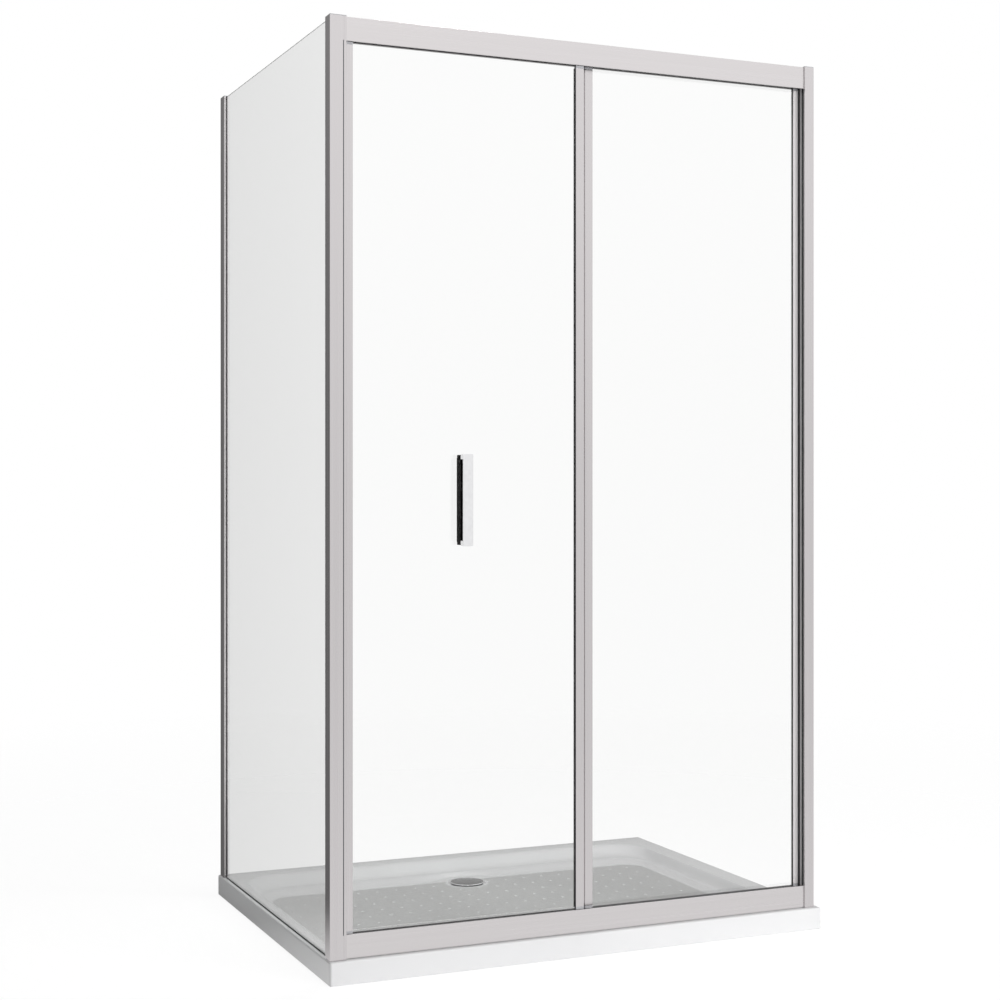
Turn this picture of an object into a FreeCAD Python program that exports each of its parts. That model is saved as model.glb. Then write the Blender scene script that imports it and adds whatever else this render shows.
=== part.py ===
import FreeCAD, Part
import math
import os
import Sketcher

# Corner shower enclosure on a low tray: a hung sliding door, a fixed panel behind it and a
# glass side panel. Millimetres, +X to the right, +Y towards the back wall, +Z up. The origin
# is the centre of the tray's footprint, on the floor.

# Every size that can be set by itself, written once. Depths of the frame's sections run back
# from the posts' front faces, widths run right from the corner post's outer face, and heights
# run up from the tray's rim, unless a name says otherwise.
DIMENSIONS = {
    # shower tray
    "tray_length": 1223,
    "tray_depth": 926,
    "tray_height": 50,
    "tray_corner_radius": 5,
    "tray_edge_radius": 4,
    "skirt_thickness": 6,
    "underside_height": 14,
    "rim_left": 48,
    "rim_right": 57,
    "rim_front": 66,
    "rim_back": 56,
    "rim_inner_radius": 100,
    "bank_level": 28,
    "bank_left": 17,
    "bank_right": 23,
    "bank_front": 20,
    "bank_back": 65,
    "bank_radius": 88,
    "floor_level": 20,
    "slope_left": 17,
    "slope_right": 30,
    "slope_front": 22,
    "slope_back": 67,
    "floor_radius": 55,
    "basin_edge_radius": 5,
    "board_clearance": 1,
    # waste
    "drain_side_offset": 8,
    "drain_back_distance": 219,
    "drain_hole_radius": 31,
    "drain_dish_radius": 47,
    "drain_dish_depth": 2,
    "board_hole_margin": 20,
    "waste_outlet_radius": 20,
    "waste_outlet_length": 7,
    "waste_outlet_wall": 3,
    "waste_floor_height": 1,
    "waste_wall": 3,
    "waste_hole_clearance": 1,
    "waste_collar_width": 10,
    "waste_collar_thickness": 3,
    "waste_gasket_thickness": 2,
    "waste_flange_radius": 42,
    "waste_flange_thickness": 1.8,
    "waste_sleeve_thickness": 2.7,
    "waste_sleeve_depth": 9,
    "waste_fit": 0.3,
    "strainer_thickness": 1.5,
    "strainer_hole_radius": 2,
    "strainer_hole_circle": 14,
    "drain_cap_radius": 43.5,
    "drain_cap_thickness": 3.5,
    "drain_cap_edge_radius": 1.6,
    "drain_cap_foot_radius": 2,
    "drain_cap_foot_circle": 38,
    "drain_cap_foot_height": 2.2,
    # enclosure as a whole
    "front_setback": 10,
    "left_setback": 3,
    "right_setback": 14,
    "back_setback": 11,
    "frame_height": 2000,
    "post_wall": 2,
    "edge_radius": 0.8,
    "cap_thickness": 1.5,
    # corner post and the jamb that slides in it
    "corner_width": 29,
    "corner_depth": 33,
    "corner_slot_depth": 16,
    "side_glass_inset": 6.8,
    "foot_thickness": 0.5,
    "foot_inset": 0.5,
    "jamb_reveal": 2.2,
    "jamb_lip": 5.9,
    "jamb_fit": 0.3,
    "jamb_play": 1.2,
    "jamb_wall": 5.1,
    "magnet_width": 6,
    "magnet_depth": 3,
    "magnet_gap": 0.3,
    "closing_gap": 0.5,
    # right wall profile and its jamb
    "wall_profile_width": 25,
    "wall_profile_depth": 44,
    "wall_profile_web": 3,
    "right_jamb_width": 19,
    "right_jamb_wall": 2,
    "right_jamb_face": 6,
    "front_groove_setback": 5,
    "front_groove_width": 8,
    "rear_groove_setback": 21.6,
    "rear_groove_width": 6,
    "jamb_groove_depth": 4,
    "jamb_gasket_play": 0.2,
    "jamb_gasket_proud": 1,
    "wall_hole_radius": 2.6,
    "wall_hole_inset": 150,
    "wall_hole_pitch": 567,
    # side wall profile
    "side_profile_offset": 1,
    "side_profile_width": 15,
    "side_profile_depth": 36,
    "side_profile_web": 4,
    "side_glass_entry": 20,
    # rails
    "rail_height": 51,
    "rail_depth": 40,
    "rail_wall": 2,
    "rail_recess": 3.6,
    "rail_drop": 2,
    "door_chamber": 16,
    "glass_groove": 12,
    "glass_groove_depth": 16,
    "soffit_rise": 4,
    "ledge_height": 22,
    "ledge_thickness": 2.5,
    "ledge_lip_setback": 6.2,
    "ledge_lip_thickness": 1.2,
    "ledge_lip_height": 2,
    "guide_groove_width": 8,
    "guide_groove_depth": 14,
    "sill_gasket_thickness": 1.5,
    "sill_gasket_inset": 1.6,
    "screw_line": 21,
    "screw_web": 8,
    "screw_low": 9,
    "screw_high": 25,
    "top_screw_lift": 18,
    "screw_shank_radius": 2.4,
    "screw_head_radius": 4,
    "screw_head_height": 2.5,
    "screw_entry": 20,
    "screw_clearance": 0.2,
    "access_clearance": 0.5,
    "screw_fit": 0.02,
    "buffer_length": 12,
    "buffer_height": 11,
    "buffer_play": 0.3,
    "buffer_gap": 0.5,
    "brush_height": 2.5,
    "brush_gap": 0.7,
    # glass
    "glass_thickness": 6,
    "glass_corner_radius": 3,
    "glass_arris": 0.5,
    "gasket_thickness": 1,
    "gasket_bead": 2.4,
    "slim_bead": 0.4,
    "side_glass_lift": 2,
    "side_glass_top_gap": 3,
    "setting_block_length": 40,
    "setting_block_height": 3,
    "setting_block_inset": 90,
    "top_glass_entry": 13,
    "sill_bead": 1,
    "sill_drop": 4,
    "soffit_bead": 0.5,
    "rail_bead_entry": 10,
    # stiles
    "stile_depth": 12,
    "stile_wall": 2,
    "stile_slot_depth": 8,
    "trailing_slot_depth": 11.6,
    "fixed_slot_depth": 14,
    "stile_cap_height": 6,
    "stile_cap_gap": 0.5,
    "glass_edge_play": 1,
    "leading_stile_width": 16,
    "trailing_stile_width": 19.8,
    "fixed_stile_width": 39.8,
    "fixed_stile_groove_setback": 17.9,
    "fixed_stile_groove_width": 2.7,
    "fixed_stile_groove_depth": 3,
    "wall_stile_width": 13,
    "wall_stile_gap": 4,
    # sliding door
    "door_width": 562.6,
    "panel_overlap": 10,
    "door_glass_entry": 19.5,
    "interlock_width": 4,
    "interlock_setback": 6,
    "interlock_gap": 0.3,
    "door_travel": 540,
    # carriages and wheels
    "carriage_inset": 80,
    "carriage_length": 76,
    "carriage_thickness": 2.2,
    "carriage_height": 38,
    "carriage_lift": 3,
    "carriage_corner_radius": 4,
    "wheel_spacing": 52,
    "wheel_radius": 10,
    "wheel_width": 6,
    "wheel_rim_height": 2,
    "wheel_flank_inset": 0.6,
    "wheel_lift": 0.3,
    "axle_radius": 2.5,
    "running_clearance": 0.05,
    "axle_collar_radius": 4,
    "axle_collar_gap": 0.2,
    "axle_head_height": 1,
    "wheel_setback": 3,
    "bolt_spacing": 52,
    "bolt_height": 10,
    "bolt_shank_radius": 3,
    "bolt_head_radius": 6,
    "bolt_head_height": 2.1,
    "bolt_socket_radius": 2,
    "bolt_socket_depth": 1.2,
    "nut_height": 3.4,
    "glass_hole_radius": 5,
    "bush_clearance": 0.1,
    # bottom guides
    "guide_pin_radius": 1.5,
    "guide_roller_radius": 3.7,
    "guide_roller_height": 8,
    "guide_roller_drop": 2.5,
    "guide_pin_entry": 2,
    "guide_head_radius": 2.4,
    "guide_head_height": 0.8,
    # handle
    "handle_offset": 256,
    "handle_width": 23,
    "handle_height": 200,
    "handle_centre_height": 973,
    "handle_base_height": 196,
    "handle_base_depth": 21,
    "handle_base_radius": 1.5,
    "handle_grip_depth": 16,
    "handle_grip_plate": 3.5,
    "handle_grip_end": 11.6,
    "handle_corner_radius": 2.3,
    "handle_front_radius": 0.8,
    "handle_plate_depth": 5.5,
    "inner_plate_inset": 3,
    "inner_plate_end": 6,
    "handle_plate_radius": 4,
    "handle_screw_spacing": 128,
    "handle_screw_radius": 2.5,
    "handle_screw_entry": 12,
    "handle_screw_head_radius": 4.5,
    "handle_screw_head_height": 2.5,
}

SHEET_NAME = "Sizes"


class Size:
    """A length kept as an expression over the sheet's cells, with its value as the sheet stands."""

    def __init__(self, text, value):
        self.text = text
        self.value = value

    def __add__(self, other):
        return joined(self, "+", other)

    def __radd__(self, other):
        return joined(other, "+", self)

    def __sub__(self, other):
        return joined(self, "-", other)

    def __rsub__(self, other):
        return joined(other, "-", self)

    def __mul__(self, other):
        return joined(self, "*", other)

    def __rmul__(self, other):
        return joined(other, "*", self)

    def __truediv__(self, other):
        return joined(self, "/", other)

    def __neg__(self):
        return joined(0, "-", self)


def as_size(value):
    if isinstance(value, Size):
        return value
    return Size(repr(value), float(value))


def joined(first, sign, second):
    first = as_size(first)
    second = as_size(second)
    results = {
        "+": first.value + second.value,
        "-": first.value - second.value,
        "*": first.value * second.value,
        "/": first.value / second.value if sign == "/" else 0.0,
    }
    return Size("(" + first.text + " " + sign + " " + second.text + ")", results[sign])


class Cells:
    """Gives each cell of the sheet by its alias."""

    def __getattr__(self, alias):
        return Size(SHEET_NAME + "." + alias, float(DIMENSIONS[alias]))


D = Cells()
doc = FreeCAD.newDocument("shower_enclosure")
pieces = []


def fill_sheet():
    sheet = doc.addObject("Spreadsheet::Sheet", SHEET_NAME)
    for row, (alias, value) in enumerate(DIMENSIONS.items(), start=1):
        sheet.set("A" + str(row), alias.replace("_", " "))
        sheet.set("B" + str(row), str(value))
        sheet.setAlias("B" + str(row), alias)
    doc.recompute()


def bind(target, path, length):
    """Sets one property of an object from the sheet."""
    target.setExpression(path, as_size(length).text)


def place(target, x, y, z):
    for axis, length in (("x", x), ("y", y), ("z", z)):
        bind(target, "Placement.Base." + axis, length)


def keep(target):
    """Marks an object as a piece that is written out."""
    pieces.append(target)
    return target


# ---- sketches -------------------------------------------------------------------------------

def new_body(label):
    body = doc.addObject("PartDesign::Body", label)
    body.Label = label
    return body


def new_sketch(body, plane, name, offset=0):
    """A sketch on one of the body's origin planes, moved along +X, +Y or +Z by the offset."""
    sketch = body.newObject("Sketcher::SketchObject", name)
    support = [part for part in body.Origin.OriginFeatures if part.Role == plane][0]
    sketch.AttachmentSupport = [(support, "")]
    sketch.MapMode = "FlatFace"
    away = -as_size(offset) if plane == "XZ_Plane" else as_size(offset)
    bind(sketch, "AttachmentOffset.Base.z", away)
    return sketch


def hold(sketch, geometry, point, across, up):
    """Fixes a sketch point by its two distances from the sketch's origin."""
    for kind, axis_line, length in (("DistanceX", -2, across), ("DistanceY", -1, up)):
        if length is None:
            continue
        length = as_size(length)
        if length.text in ("0", "0.0"):
            sketch.addConstraint(Sketcher.Constraint("PointOnObject", geometry, point, axis_line))
            continue
        rule = Sketcher.Constraint(kind, -1, 1, geometry, point, length.value)
        number = sketch.addConstraint(rule)
        bind(sketch, "Constraints[" + str(number) + "]", length)


def draw_line(sketch, start, end):
    line = Part.LineSegment(FreeCAD.Vector(*start, 0), FreeCAD.Vector(*end, 0))
    return sketch.addGeometry(line, False)


def draw_corner(sketch, corner, arriving, leaving, radius):
    """Rounds a corner. Returns the arc with its first and last point along the outline."""
    centre = FreeCAD.Vector(
        corner[0] + radius * (leaving[0] - arriving[0]),
        corner[1] + radius * (leaving[1] - arriving[1]),
        0,
    )
    first = math.atan2(-leaving[1], -leaving[0])
    last = math.atan2(arriving[1], arriving[0])
    turns_left = arriving[0] * leaving[1] - arriving[1] * leaving[0] > 0
    if not turns_left:
        first, last = last, first
    circle = Part.Circle(centre, FreeCAD.Vector(0, 0, 1), radius)
    arc = sketch.addGeometry(Part.ArcOfCircle(circle, first, last), False)
    return (arc, 1, 2) if turns_left else (arc, 2, 1)


def draw_outline(sketch, corners):
    """A closed outline of level and upright runs. A corner is (across, up) or (across, up, radius)."""
    points = [(as_size(corner[0]), as_size(corner[1])) for corner in corners]
    radii = [as_size(corner[2]) if len(corner) > 2 else None for corner in corners]
    count = len(points)
    ways = []
    for index in range(count):
        start = points[index]
        end = points[(index + 1) % count]
        run = (end[0].value - start[0].value, end[1].value - start[1].value)
        length = math.hypot(*run)
        ways.append((run[0] / length, run[1] / length))
    lines = []
    for index in range(count):
        after = (index + 1) % count
        ease_in = radii[index].value if radii[index] else 0.0
        ease_out = radii[after].value if radii[after] else 0.0
        way = ways[index]
        start = [points[index][axis].value + ease_in * way[axis] for axis in (0, 1)]
        end = [points[after][axis].value - ease_out * way[axis] for axis in (0, 1)]
        lines.append(draw_line(sketch, start, end))
    for index in range(count):
        level = abs(ways[index][0]) > 0.5
        sketch.addConstraint(Sketcher.Constraint("Horizontal" if level else "Vertical", lines[index]))
        across, up = points[index]
        hold(sketch, lines[index], 1, None if level else across, up if level else None)
    for index in range(count):
        before = lines[index - 1]
        line = lines[index]
        if radii[index] is None:
            sketch.addConstraint(Sketcher.Constraint("Coincident", before, 2, line, 1))
            continue
        corner = [points[index][axis].value for axis in (0, 1)]
        arc, first, last = draw_corner(
            sketch, corner, ways[index - 1], ways[index], radii[index].value)
        sketch.addConstraint(Sketcher.Constraint("Tangent", before, 2, arc, first))
        sketch.addConstraint(Sketcher.Constraint("Tangent", arc, last, line, 1))
        number = sketch.addConstraint(Sketcher.Constraint("Radius", arc, radii[index].value))
        bind(sketch, "Constraints[" + str(number) + "]", radii[index])


def draw_circle(sketch, across, up, radius):
    across = as_size(across)
    up = as_size(up)
    radius = as_size(radius)
    centre = FreeCAD.Vector(across.value, up.value, 0)
    number = sketch.addGeometry(Part.Circle(centre, FreeCAD.Vector(0, 0, 1), radius.value), False)
    hold(sketch, number, 3, across, up)
    rule = sketch.addConstraint(Sketcher.Constraint("Radius", number, radius.value))
    bind(sketch, "Constraints[" + str(rule) + "]", radius)


def rectangle(left, low, right, high, radius=None):
    """The corners of an upright rectangle, rounded where a radius is given."""
    corners = [(left, low), (right, low), (right, high), (left, high)]
    if radius is None:
        return corners
    return [corner + (radius,) for corner in corners]


# ---- solids ---------------------------------------------------------------------------------

def fill_sketch(sketch, outlines, circles):
    for corners in outlines:
        draw_outline(sketch, corners)
    for across, up, radius in circles:
        draw_circle(sketch, across, up, radius)


def extruded(label, plane, outlines, length, circles=()):
    """A body drawn on an origin plane and extruded towards +X, +Y or +Z."""
    body = new_body(label)
    sketch = new_sketch(body, plane, label + "_section")
    fill_sketch(sketch, outlines, circles)
    pad = body.newObject("PartDesign::Pad", label + "_length")
    pad.Profile = sketch
    pad.Reversed = plane == "XZ_Plane"
    bind(pad, "Length", length)
    body.Tip = pad
    return body


def cut_pocket(body, name, plane, start, depth, outlines=(), circles=()):
    """Cuts from the start towards +X, +Y or +Z and makes sure that material went."""
    doc.recompute()
    before = body.Shape.Volume
    sketch = new_sketch(body, plane, body.Label + "_" + name + "_outline", start)
    fill_sketch(sketch, outlines, circles)
    pocket = body.newObject("PartDesign::Pocket", body.Label + "_" + name)
    pocket.Profile = sketch
    pocket.Reversed = plane != "XZ_Plane"
    bind(pocket, "Length", depth)
    body.Tip = pocket
    doc.recompute()
    if body.Shape.Volume >= before:
        raise RuntimeError(name + " cuts nothing in " + body.Label)


def soften(body, kind, name, length, wanted=None):
    """Rounds or chamfers the edges that the test picks, or all of them."""
    doc.recompute()
    base = body.Tip
    feature = body.newObject("PartDesign::" + kind, body.Label + "_" + name)
    if wanted is None:
        feature.Base = (base, [""])
        feature.UseAllEdges = True
    else:
        edges = ["Edge" + str(index) for index, edge in enumerate(base.Shape.Edges, start=1)
                 if wanted(edge.BoundBox)]
        feature.Base = (base, edges)
    bind(feature, "Size" if kind == "Chamfer" else "Radius", length)
    body.Tip = feature
    return feature


def turned(label, direction, corners):
    """A body of revolution along +X, +Y or +Z. A corner is (distance along, radius)."""
    body = new_body(label)
    plane = {"x": "XZ_Plane", "y": "YZ_Plane", "z": "XZ_Plane"}[direction]
    sketch = new_sketch(body, plane, label + "_section")
    if direction == "z":
        corners = [(corner[1], corner[0]) + tuple(corner[2:]) for corner in corners]
    draw_outline(sketch, corners)
    revolution = body.newObject("PartDesign::Revolution", label + "_turning")
    revolution.Profile = sketch
    revolution.ReferenceAxis = (sketch, ["V_Axis" if direction == "z" else "H_Axis"])
    revolution.Angle = 360
    body.Tip = revolution
    return body


def block(label, x, y, z, length, width, height):
    box = doc.addObject("Part::Box", label)
    box.Label = label
    bind(box, "Length", length)
    bind(box, "Width", width)
    bind(box, "Height", height)
    place(box, x, y, z)
    return box


def group(label, members):
    """Several solids that share one node."""
    compound = doc.addObject("Part::Compound", label)
    compound.Label = label
    compound.Links = members
    return keep(compound)


# ---- shared places --------------------------------------------------------------------------

fill_sheet()

# the enclosure's outer planes
left = D.left_setback - D.tray_length / 2
right = D.tray_length / 2 - D.right_setback
front = D.front_setback - D.tray_depth / 2
wall = D.tray_depth / 2 - D.back_setback
rim = D.tray_height
top = rim + D.frame_height

# the rails run from the corner jamb to the right wall profile
rail_left = left + D.corner_width + D.jamb_reveal + D.jamb_lip
rail_right = right - D.wall_profile_width
rail_length = rail_right - rail_left
rail_front = front + D.rail_recess
bottom_rail_low = rim + D.sill_gasket_thickness
bottom_rail_high = bottom_rail_low + D.rail_height
deck = bottom_rail_high - D.sill_drop
top_rail_high = top - D.rail_drop
top_rail_low = top_rail_high - D.rail_height

# the planes that the sliding door and the fixed panel are centred on
door_line = rail_front + D.rail_wall + D.door_chamber / 2
fixed_line = rail_front + D.rail_wall * 2 + D.door_chamber + D.glass_groove / 2
stile_reach = D.stile_depth / 2
glass_reach = D.glass_thickness / 2

# the moving and fixed panels across the front
door_left = rail_left + D.closing_gap
door_right = door_left + D.door_width
fixed_left = door_right - D.panel_overlap
fixed_right = rail_right - D.wall_stile_gap
cap_low = bottom_rail_high + D.stile_cap_gap
stile_low = cap_low + D.stile_cap_height
cap_high = top_rail_low - D.stile_cap_gap
stile_high = cap_high - D.stile_cap_height
stile_length = stile_high - stile_low
soffit = top_rail_low + D.soffit_rise

# the glass slots are as wide as the glass and a gasket on each side
slot_width = D.glass_thickness + D.gasket_thickness * 2

# the side panel
side_outer = left + D.side_glass_inset
side_slot_left = D.side_glass_inset - D.gasket_thickness
side_profile_front = wall - D.side_profile_depth

# the drain
drain_x = -D.drain_side_offset
drain_y = D.tray_depth / 2 - D.drain_back_distance


# ---- shower tray ----------------------------------------------------------------------------

def basin_outline(left_in, right_in, front_in, back_in, radius):
    half_length = D.tray_length / 2
    half_depth = D.tray_depth / 2
    return rectangle(
        left_in - half_length, front_in - half_depth,
        half_length - right_in, half_depth - back_in, radius)


def make_tray_shell():
    half_length = D.tray_length / 2
    half_depth = D.tray_depth / 2
    footprint = rectangle(
        -half_length, -half_depth, half_length, half_depth, D.tray_corner_radius)
    body = extruded("tray_shell", "XY_Plane", [footprint], D.tray_height)
    bank_left = D.rim_left + D.bank_left
    bank_right = D.rim_right + D.bank_right
    bank_front = D.rim_front + D.bank_front
    bank_back = D.rim_back + D.bank_back
    sections = (
        (D.tray_height, basin_outline(
            D.rim_left, D.rim_right, D.rim_front, D.rim_back, D.rim_inner_radius)),
        (D.bank_level, basin_outline(
            bank_left, bank_right, bank_front, bank_back, D.bank_radius)),
        (D.floor_level, basin_outline(
            bank_left + D.slope_left, bank_right + D.slope_right,
            bank_front + D.slope_front, bank_back + D.slope_back, D.floor_radius)),
    )
    sketches = []
    for index, (level, corners) in enumerate(sections):
        sketch = new_sketch(body, "XY_Plane", "tray_shell_basin_" + str(index), level)
        draw_outline(sketch, corners)
        sketches.append(sketch)
    basin = body.newObject("PartDesign::SubtractiveLoft", "tray_shell_basin")
    basin.Profile = sketches[0]
    basin.Sections = sketches[1:]
    basin.Ruled = True
    body.Tip = basin
    rim_level = D.tray_height.value
    half_width = D.tray_length.value / 2 - 2 * D.tray_corner_radius.value
    half_back = D.tray_depth.value / 2 - 2 * D.tray_corner_radius.value

    def on_outer_rim(box):
        level = box.ZMin > rim_level - 0.01
        outside = max(abs(box.XMin), abs(box.XMax)) > half_width
        return level and (outside or max(abs(box.YMin), abs(box.YMax)) > half_back)

    soften(body, "Fillet", "outer_rim", D.tray_edge_radius, on_outer_rim)
    soften(body, "Fillet", "inner_rim", D.basin_edge_radius,
           lambda box: box.ZMin > rim_level - 0.01 and not on_outer_rim(box)
           and max(abs(box.XMin), abs(box.XMax)) < half_width)
    skirt = D.skirt_thickness
    cut_pocket(body, "underside", "XY_Plane", 0, D.underside_height, [rectangle(
        skirt - half_length, skirt - half_depth,
        half_length - skirt, half_depth - skirt, D.tray_corner_radius)])
    cut_pocket(body, "drain_dish", "XY_Plane", D.floor_level - D.drain_dish_depth,
               D.bank_level - D.floor_level, circles=[(drain_x, drain_y, D.drain_dish_radius)])
    cut_pocket(body, "drain_hole", "XY_Plane", 0, D.tray_height,
               circles=[(drain_x, drain_y, D.drain_hole_radius)])
    keep(body)


def make_base_board():
    margin = D.skirt_thickness + D.board_clearance
    half_length = D.tray_length / 2 - margin
    half_depth = D.tray_depth / 2 - margin
    body = extruded(
        "tray_base_board", "XY_Plane",
        [rectangle(-half_length, -half_depth, half_length, half_depth, D.tray_corner_radius)],
        D.underside_height,
        [(drain_x, drain_y, D.drain_hole_radius + D.board_hole_margin)])
    keep(body)


# ---- waste ----------------------------------------------------------------------------------

def make_waste():
    dish = D.floor_level - D.drain_dish_depth
    body_radius = D.drain_hole_radius - D.waste_hole_clearance
    inner_radius = body_radius - D.waste_wall
    collar_radius = body_radius + D.waste_collar_width
    collar_high = D.underside_height - D.waste_gasket_thickness
    collar_low = collar_high - D.waste_collar_thickness
    base_low = D.waste_floor_height
    base_high = base_low + D.waste_wall
    outlet_high = base_low + D.waste_outlet_length
    outlet_outer = D.waste_outlet_radius + D.waste_outlet_wall
    body = turned("waste_body", "z", [
        (base_low, D.waste_outlet_radius),
        (base_low, body_radius),
        (collar_low, body_radius),
        (collar_low, collar_radius),
        (collar_high, collar_radius),
        (collar_high, body_radius),
        (dish, body_radius),
        (dish, inner_radius),
        (base_high, inner_radius),
        (base_high, outlet_outer),
        (outlet_high, outlet_outer),
        (outlet_high, D.waste_outlet_radius),
    ])
    place(keep(body), drain_x, drain_y, 0)

    gasket_inner = body_radius + D.waste_fit
    gasket = turned("waste_gasket", "z", [
        (collar_high, gasket_inner),
        (collar_high, collar_radius),
        (D.underside_height, collar_radius),
        (D.underside_height, gasket_inner),
    ])
    place(keep(gasket), drain_x, drain_y, 0)

    sleeve_outer = inner_radius - D.waste_fit
    sleeve_inner = sleeve_outer - D.waste_sleeve_thickness
    flange_top = dish + D.waste_flange_thickness
    flange = turned("waste_flange", "z", [
        (dish - D.waste_sleeve_depth, sleeve_inner),
        (dish - D.waste_sleeve_depth, sleeve_outer),
        (dish, sleeve_outer),
        (dish, D.waste_flange_radius),
        (flange_top, D.waste_flange_radius),
        (flange_top, sleeve_inner),
    ])
    place(keep(flange), drain_x, drain_y, 0)

    strainer_radius = sleeve_inner - D.waste_fit
    strainer_top = outlet_high + D.strainer_thickness
    strainer = turned("waste_strainer", "z", [
        (outlet_high, 0),
        (outlet_high, strainer_radius),
        (strainer_top, strainer_radius),
        (strainer_top, 0),
    ])
    hole_sketch = new_sketch(strainer, "XY_Plane", "waste_strainer_hole_outline", outlet_high)
    draw_circle(hole_sketch, D.strainer_hole_circle, 0, D.strainer_hole_radius)
    hole = strainer.newObject("PartDesign::Pocket", "waste_strainer_hole")
    hole.Profile = hole_sketch
    hole.Reversed = True
    bind(hole, "Length", D.strainer_thickness)
    ring = strainer.newObject("PartDesign::PolarPattern", "waste_strainer_hole_ring")
    ring.Originals = [hole]
    ring.Axis = (hole_sketch, ["N_Axis"])
    ring.Angle = 360
    ring.Occurrences = 16
    strainer.Tip = ring
    place(keep(strainer), drain_x, drain_y, 0)
    return flange_top


def make_drain_cap(flange_top):
    """The loose cover: a disc on four short feet that stand on the flange."""
    foot_height = D.drain_cap_foot_height
    cap = turned("drain_cap", "z", [
        (foot_height, 0),
        (foot_height, D.drain_cap_radius),
        (foot_height + D.drain_cap_thickness, D.drain_cap_radius, D.drain_cap_edge_radius),
        (foot_height + D.drain_cap_thickness, 0),
    ])
    feet = new_sketch(cap, "XY_Plane", "drain_cap_feet_outline")
    circle = D.drain_cap_foot_circle
    for across, up in ((circle, 0), (0, circle), (-circle, 0), (0, -circle)):
        draw_circle(feet, across, up, D.drain_cap_foot_radius)
    pad = cap.newObject("PartDesign::Pad", "drain_cap_feet")
    pad.Profile = feet
    bind(pad, "Length", foot_height)
    cap.Tip = pad
    place(keep(cap), drain_x, drain_y, flange_top)


# ---- posts, jambs and wall profiles ---------------------------------------------------------

def make_corner_post():
    wall_size = D.post_wall
    width = D.corner_width
    depth = D.corner_depth
    slot_left = side_slot_left
    slot_right = slot_left + slot_width
    slot_front = depth - D.corner_slot_depth
    channel_left = slot_right + wall_size
    section = [
        (0, 0, D.edge_radius),
        (width, 0),
        (width, wall_size),
        (channel_left, wall_size),
        (channel_left, depth - wall_size),
        (width, depth - wall_size),
        (width, depth),
        (slot_right, depth),
        (slot_right, slot_front),
        (slot_left, slot_front),
        (slot_left, depth),
        (0, depth, D.edge_radius),
    ]
    chamber = rectangle(wall_size, wall_size, slot_right, slot_front - wall_size)
    low = rim + D.foot_thickness
    high = top - D.cap_thickness
    post = extruded("corner_profile", "XY_Plane", [section, chamber], high - low)
    place(keep(post), left, front, low)

    inset = D.foot_inset
    full_width = rail_left - left
    keep(block("corner_foot", left + inset, front + inset, rim,
               full_width - inset * 2, depth - inset * 2, D.foot_thickness))
    cap = extruded("corner_cap", "XY_Plane",
                   [rectangle(0, 0, full_width, depth, D.edge_radius)], D.cap_thickness)
    place(keep(cap), left, front, high)

    tongue_left = channel_left + D.jamb_play
    tongue_low = wall_size + D.jamb_fit
    tongue_high = depth - wall_size - D.jamb_fit
    shoulder = width + D.jamb_reveal - tongue_left
    face = full_width - tongue_left
    chamber_right = face - D.jamb_wall
    magnet_front = door_line - front - D.magnet_width / 2
    magnet_back = magnet_front + D.magnet_width
    magnet_root = face - D.magnet_depth
    jamb_section = [
        (0, tongue_low),
        (shoulder, tongue_low),
        (shoulder, 0, D.edge_radius),
        (face, 0, D.edge_radius),
        (face, magnet_front),
        (magnet_root, magnet_front),
        (magnet_root, magnet_back),
        (face, magnet_back),
        (face, depth, D.edge_radius),
        (shoulder, depth, D.edge_radius),
        (shoulder, tongue_high),
        (0, tongue_high),
    ]
    jamb_chamber = rectangle(
        wall_size, tongue_low + wall_size, chamber_right, tongue_high - wall_size)
    jamb = extruded("jamb_left", "XY_Plane", [jamb_section, jamb_chamber], high - low)
    drill_for_rail_screws(jamb, low, 0, wall_size, chamber_right, D.jamb_wall)
    place(keep(jamb), left + tongue_left, front, low)

    magnet_length = top_rail_low - bottom_rail_high
    keep(block("strike_magnet", rail_left - D.magnet_depth, front + magnet_front,
               bottom_rail_high, D.magnet_depth, D.magnet_width, magnet_length))

    reveal_left = left + width
    reveal_depth = tongue_low
    group("corner_fillers", [
        block("corner_filler_low", reveal_left, front, low,
              D.jamb_reveal, reveal_depth, bottom_rail_high - low),
        block("corner_filler_high", reveal_left, front, top_rail_low,
              D.jamb_reveal, reveal_depth, high - top_rail_low),
    ])
    return left + tongue_left + chamber_right


def drill_for_rail_screws(jamb, jamb_low, access_start, access_depth, hole_start, hole_depth):
    """Clearance holes towards the rails, and wider access holes for the heads behind them."""
    across = rail_front + D.screw_line - front
    levels = [height - jamb_low for height in screw_levels()]
    hole_radius = D.screw_shank_radius + D.screw_clearance
    access_radius = D.screw_head_radius + D.access_clearance
    cut_pocket(jamb, "access_holes", "YZ_Plane", access_start, access_depth,
               circles=[(across, level, access_radius) for level in levels])
    cut_pocket(jamb, "screw_holes", "YZ_Plane", hole_start, hole_depth,
               circles=[(across, level, hole_radius) for level in levels])


def screw_levels():
    """Heights of the two screws in each rail's end, from the floor up."""
    return (
        bottom_rail_low + D.screw_low,
        bottom_rail_low + D.screw_high,
        top_rail_low + D.top_screw_lift + D.screw_low,
        top_rail_low + D.top_screw_lift + D.screw_high,
    )


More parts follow.
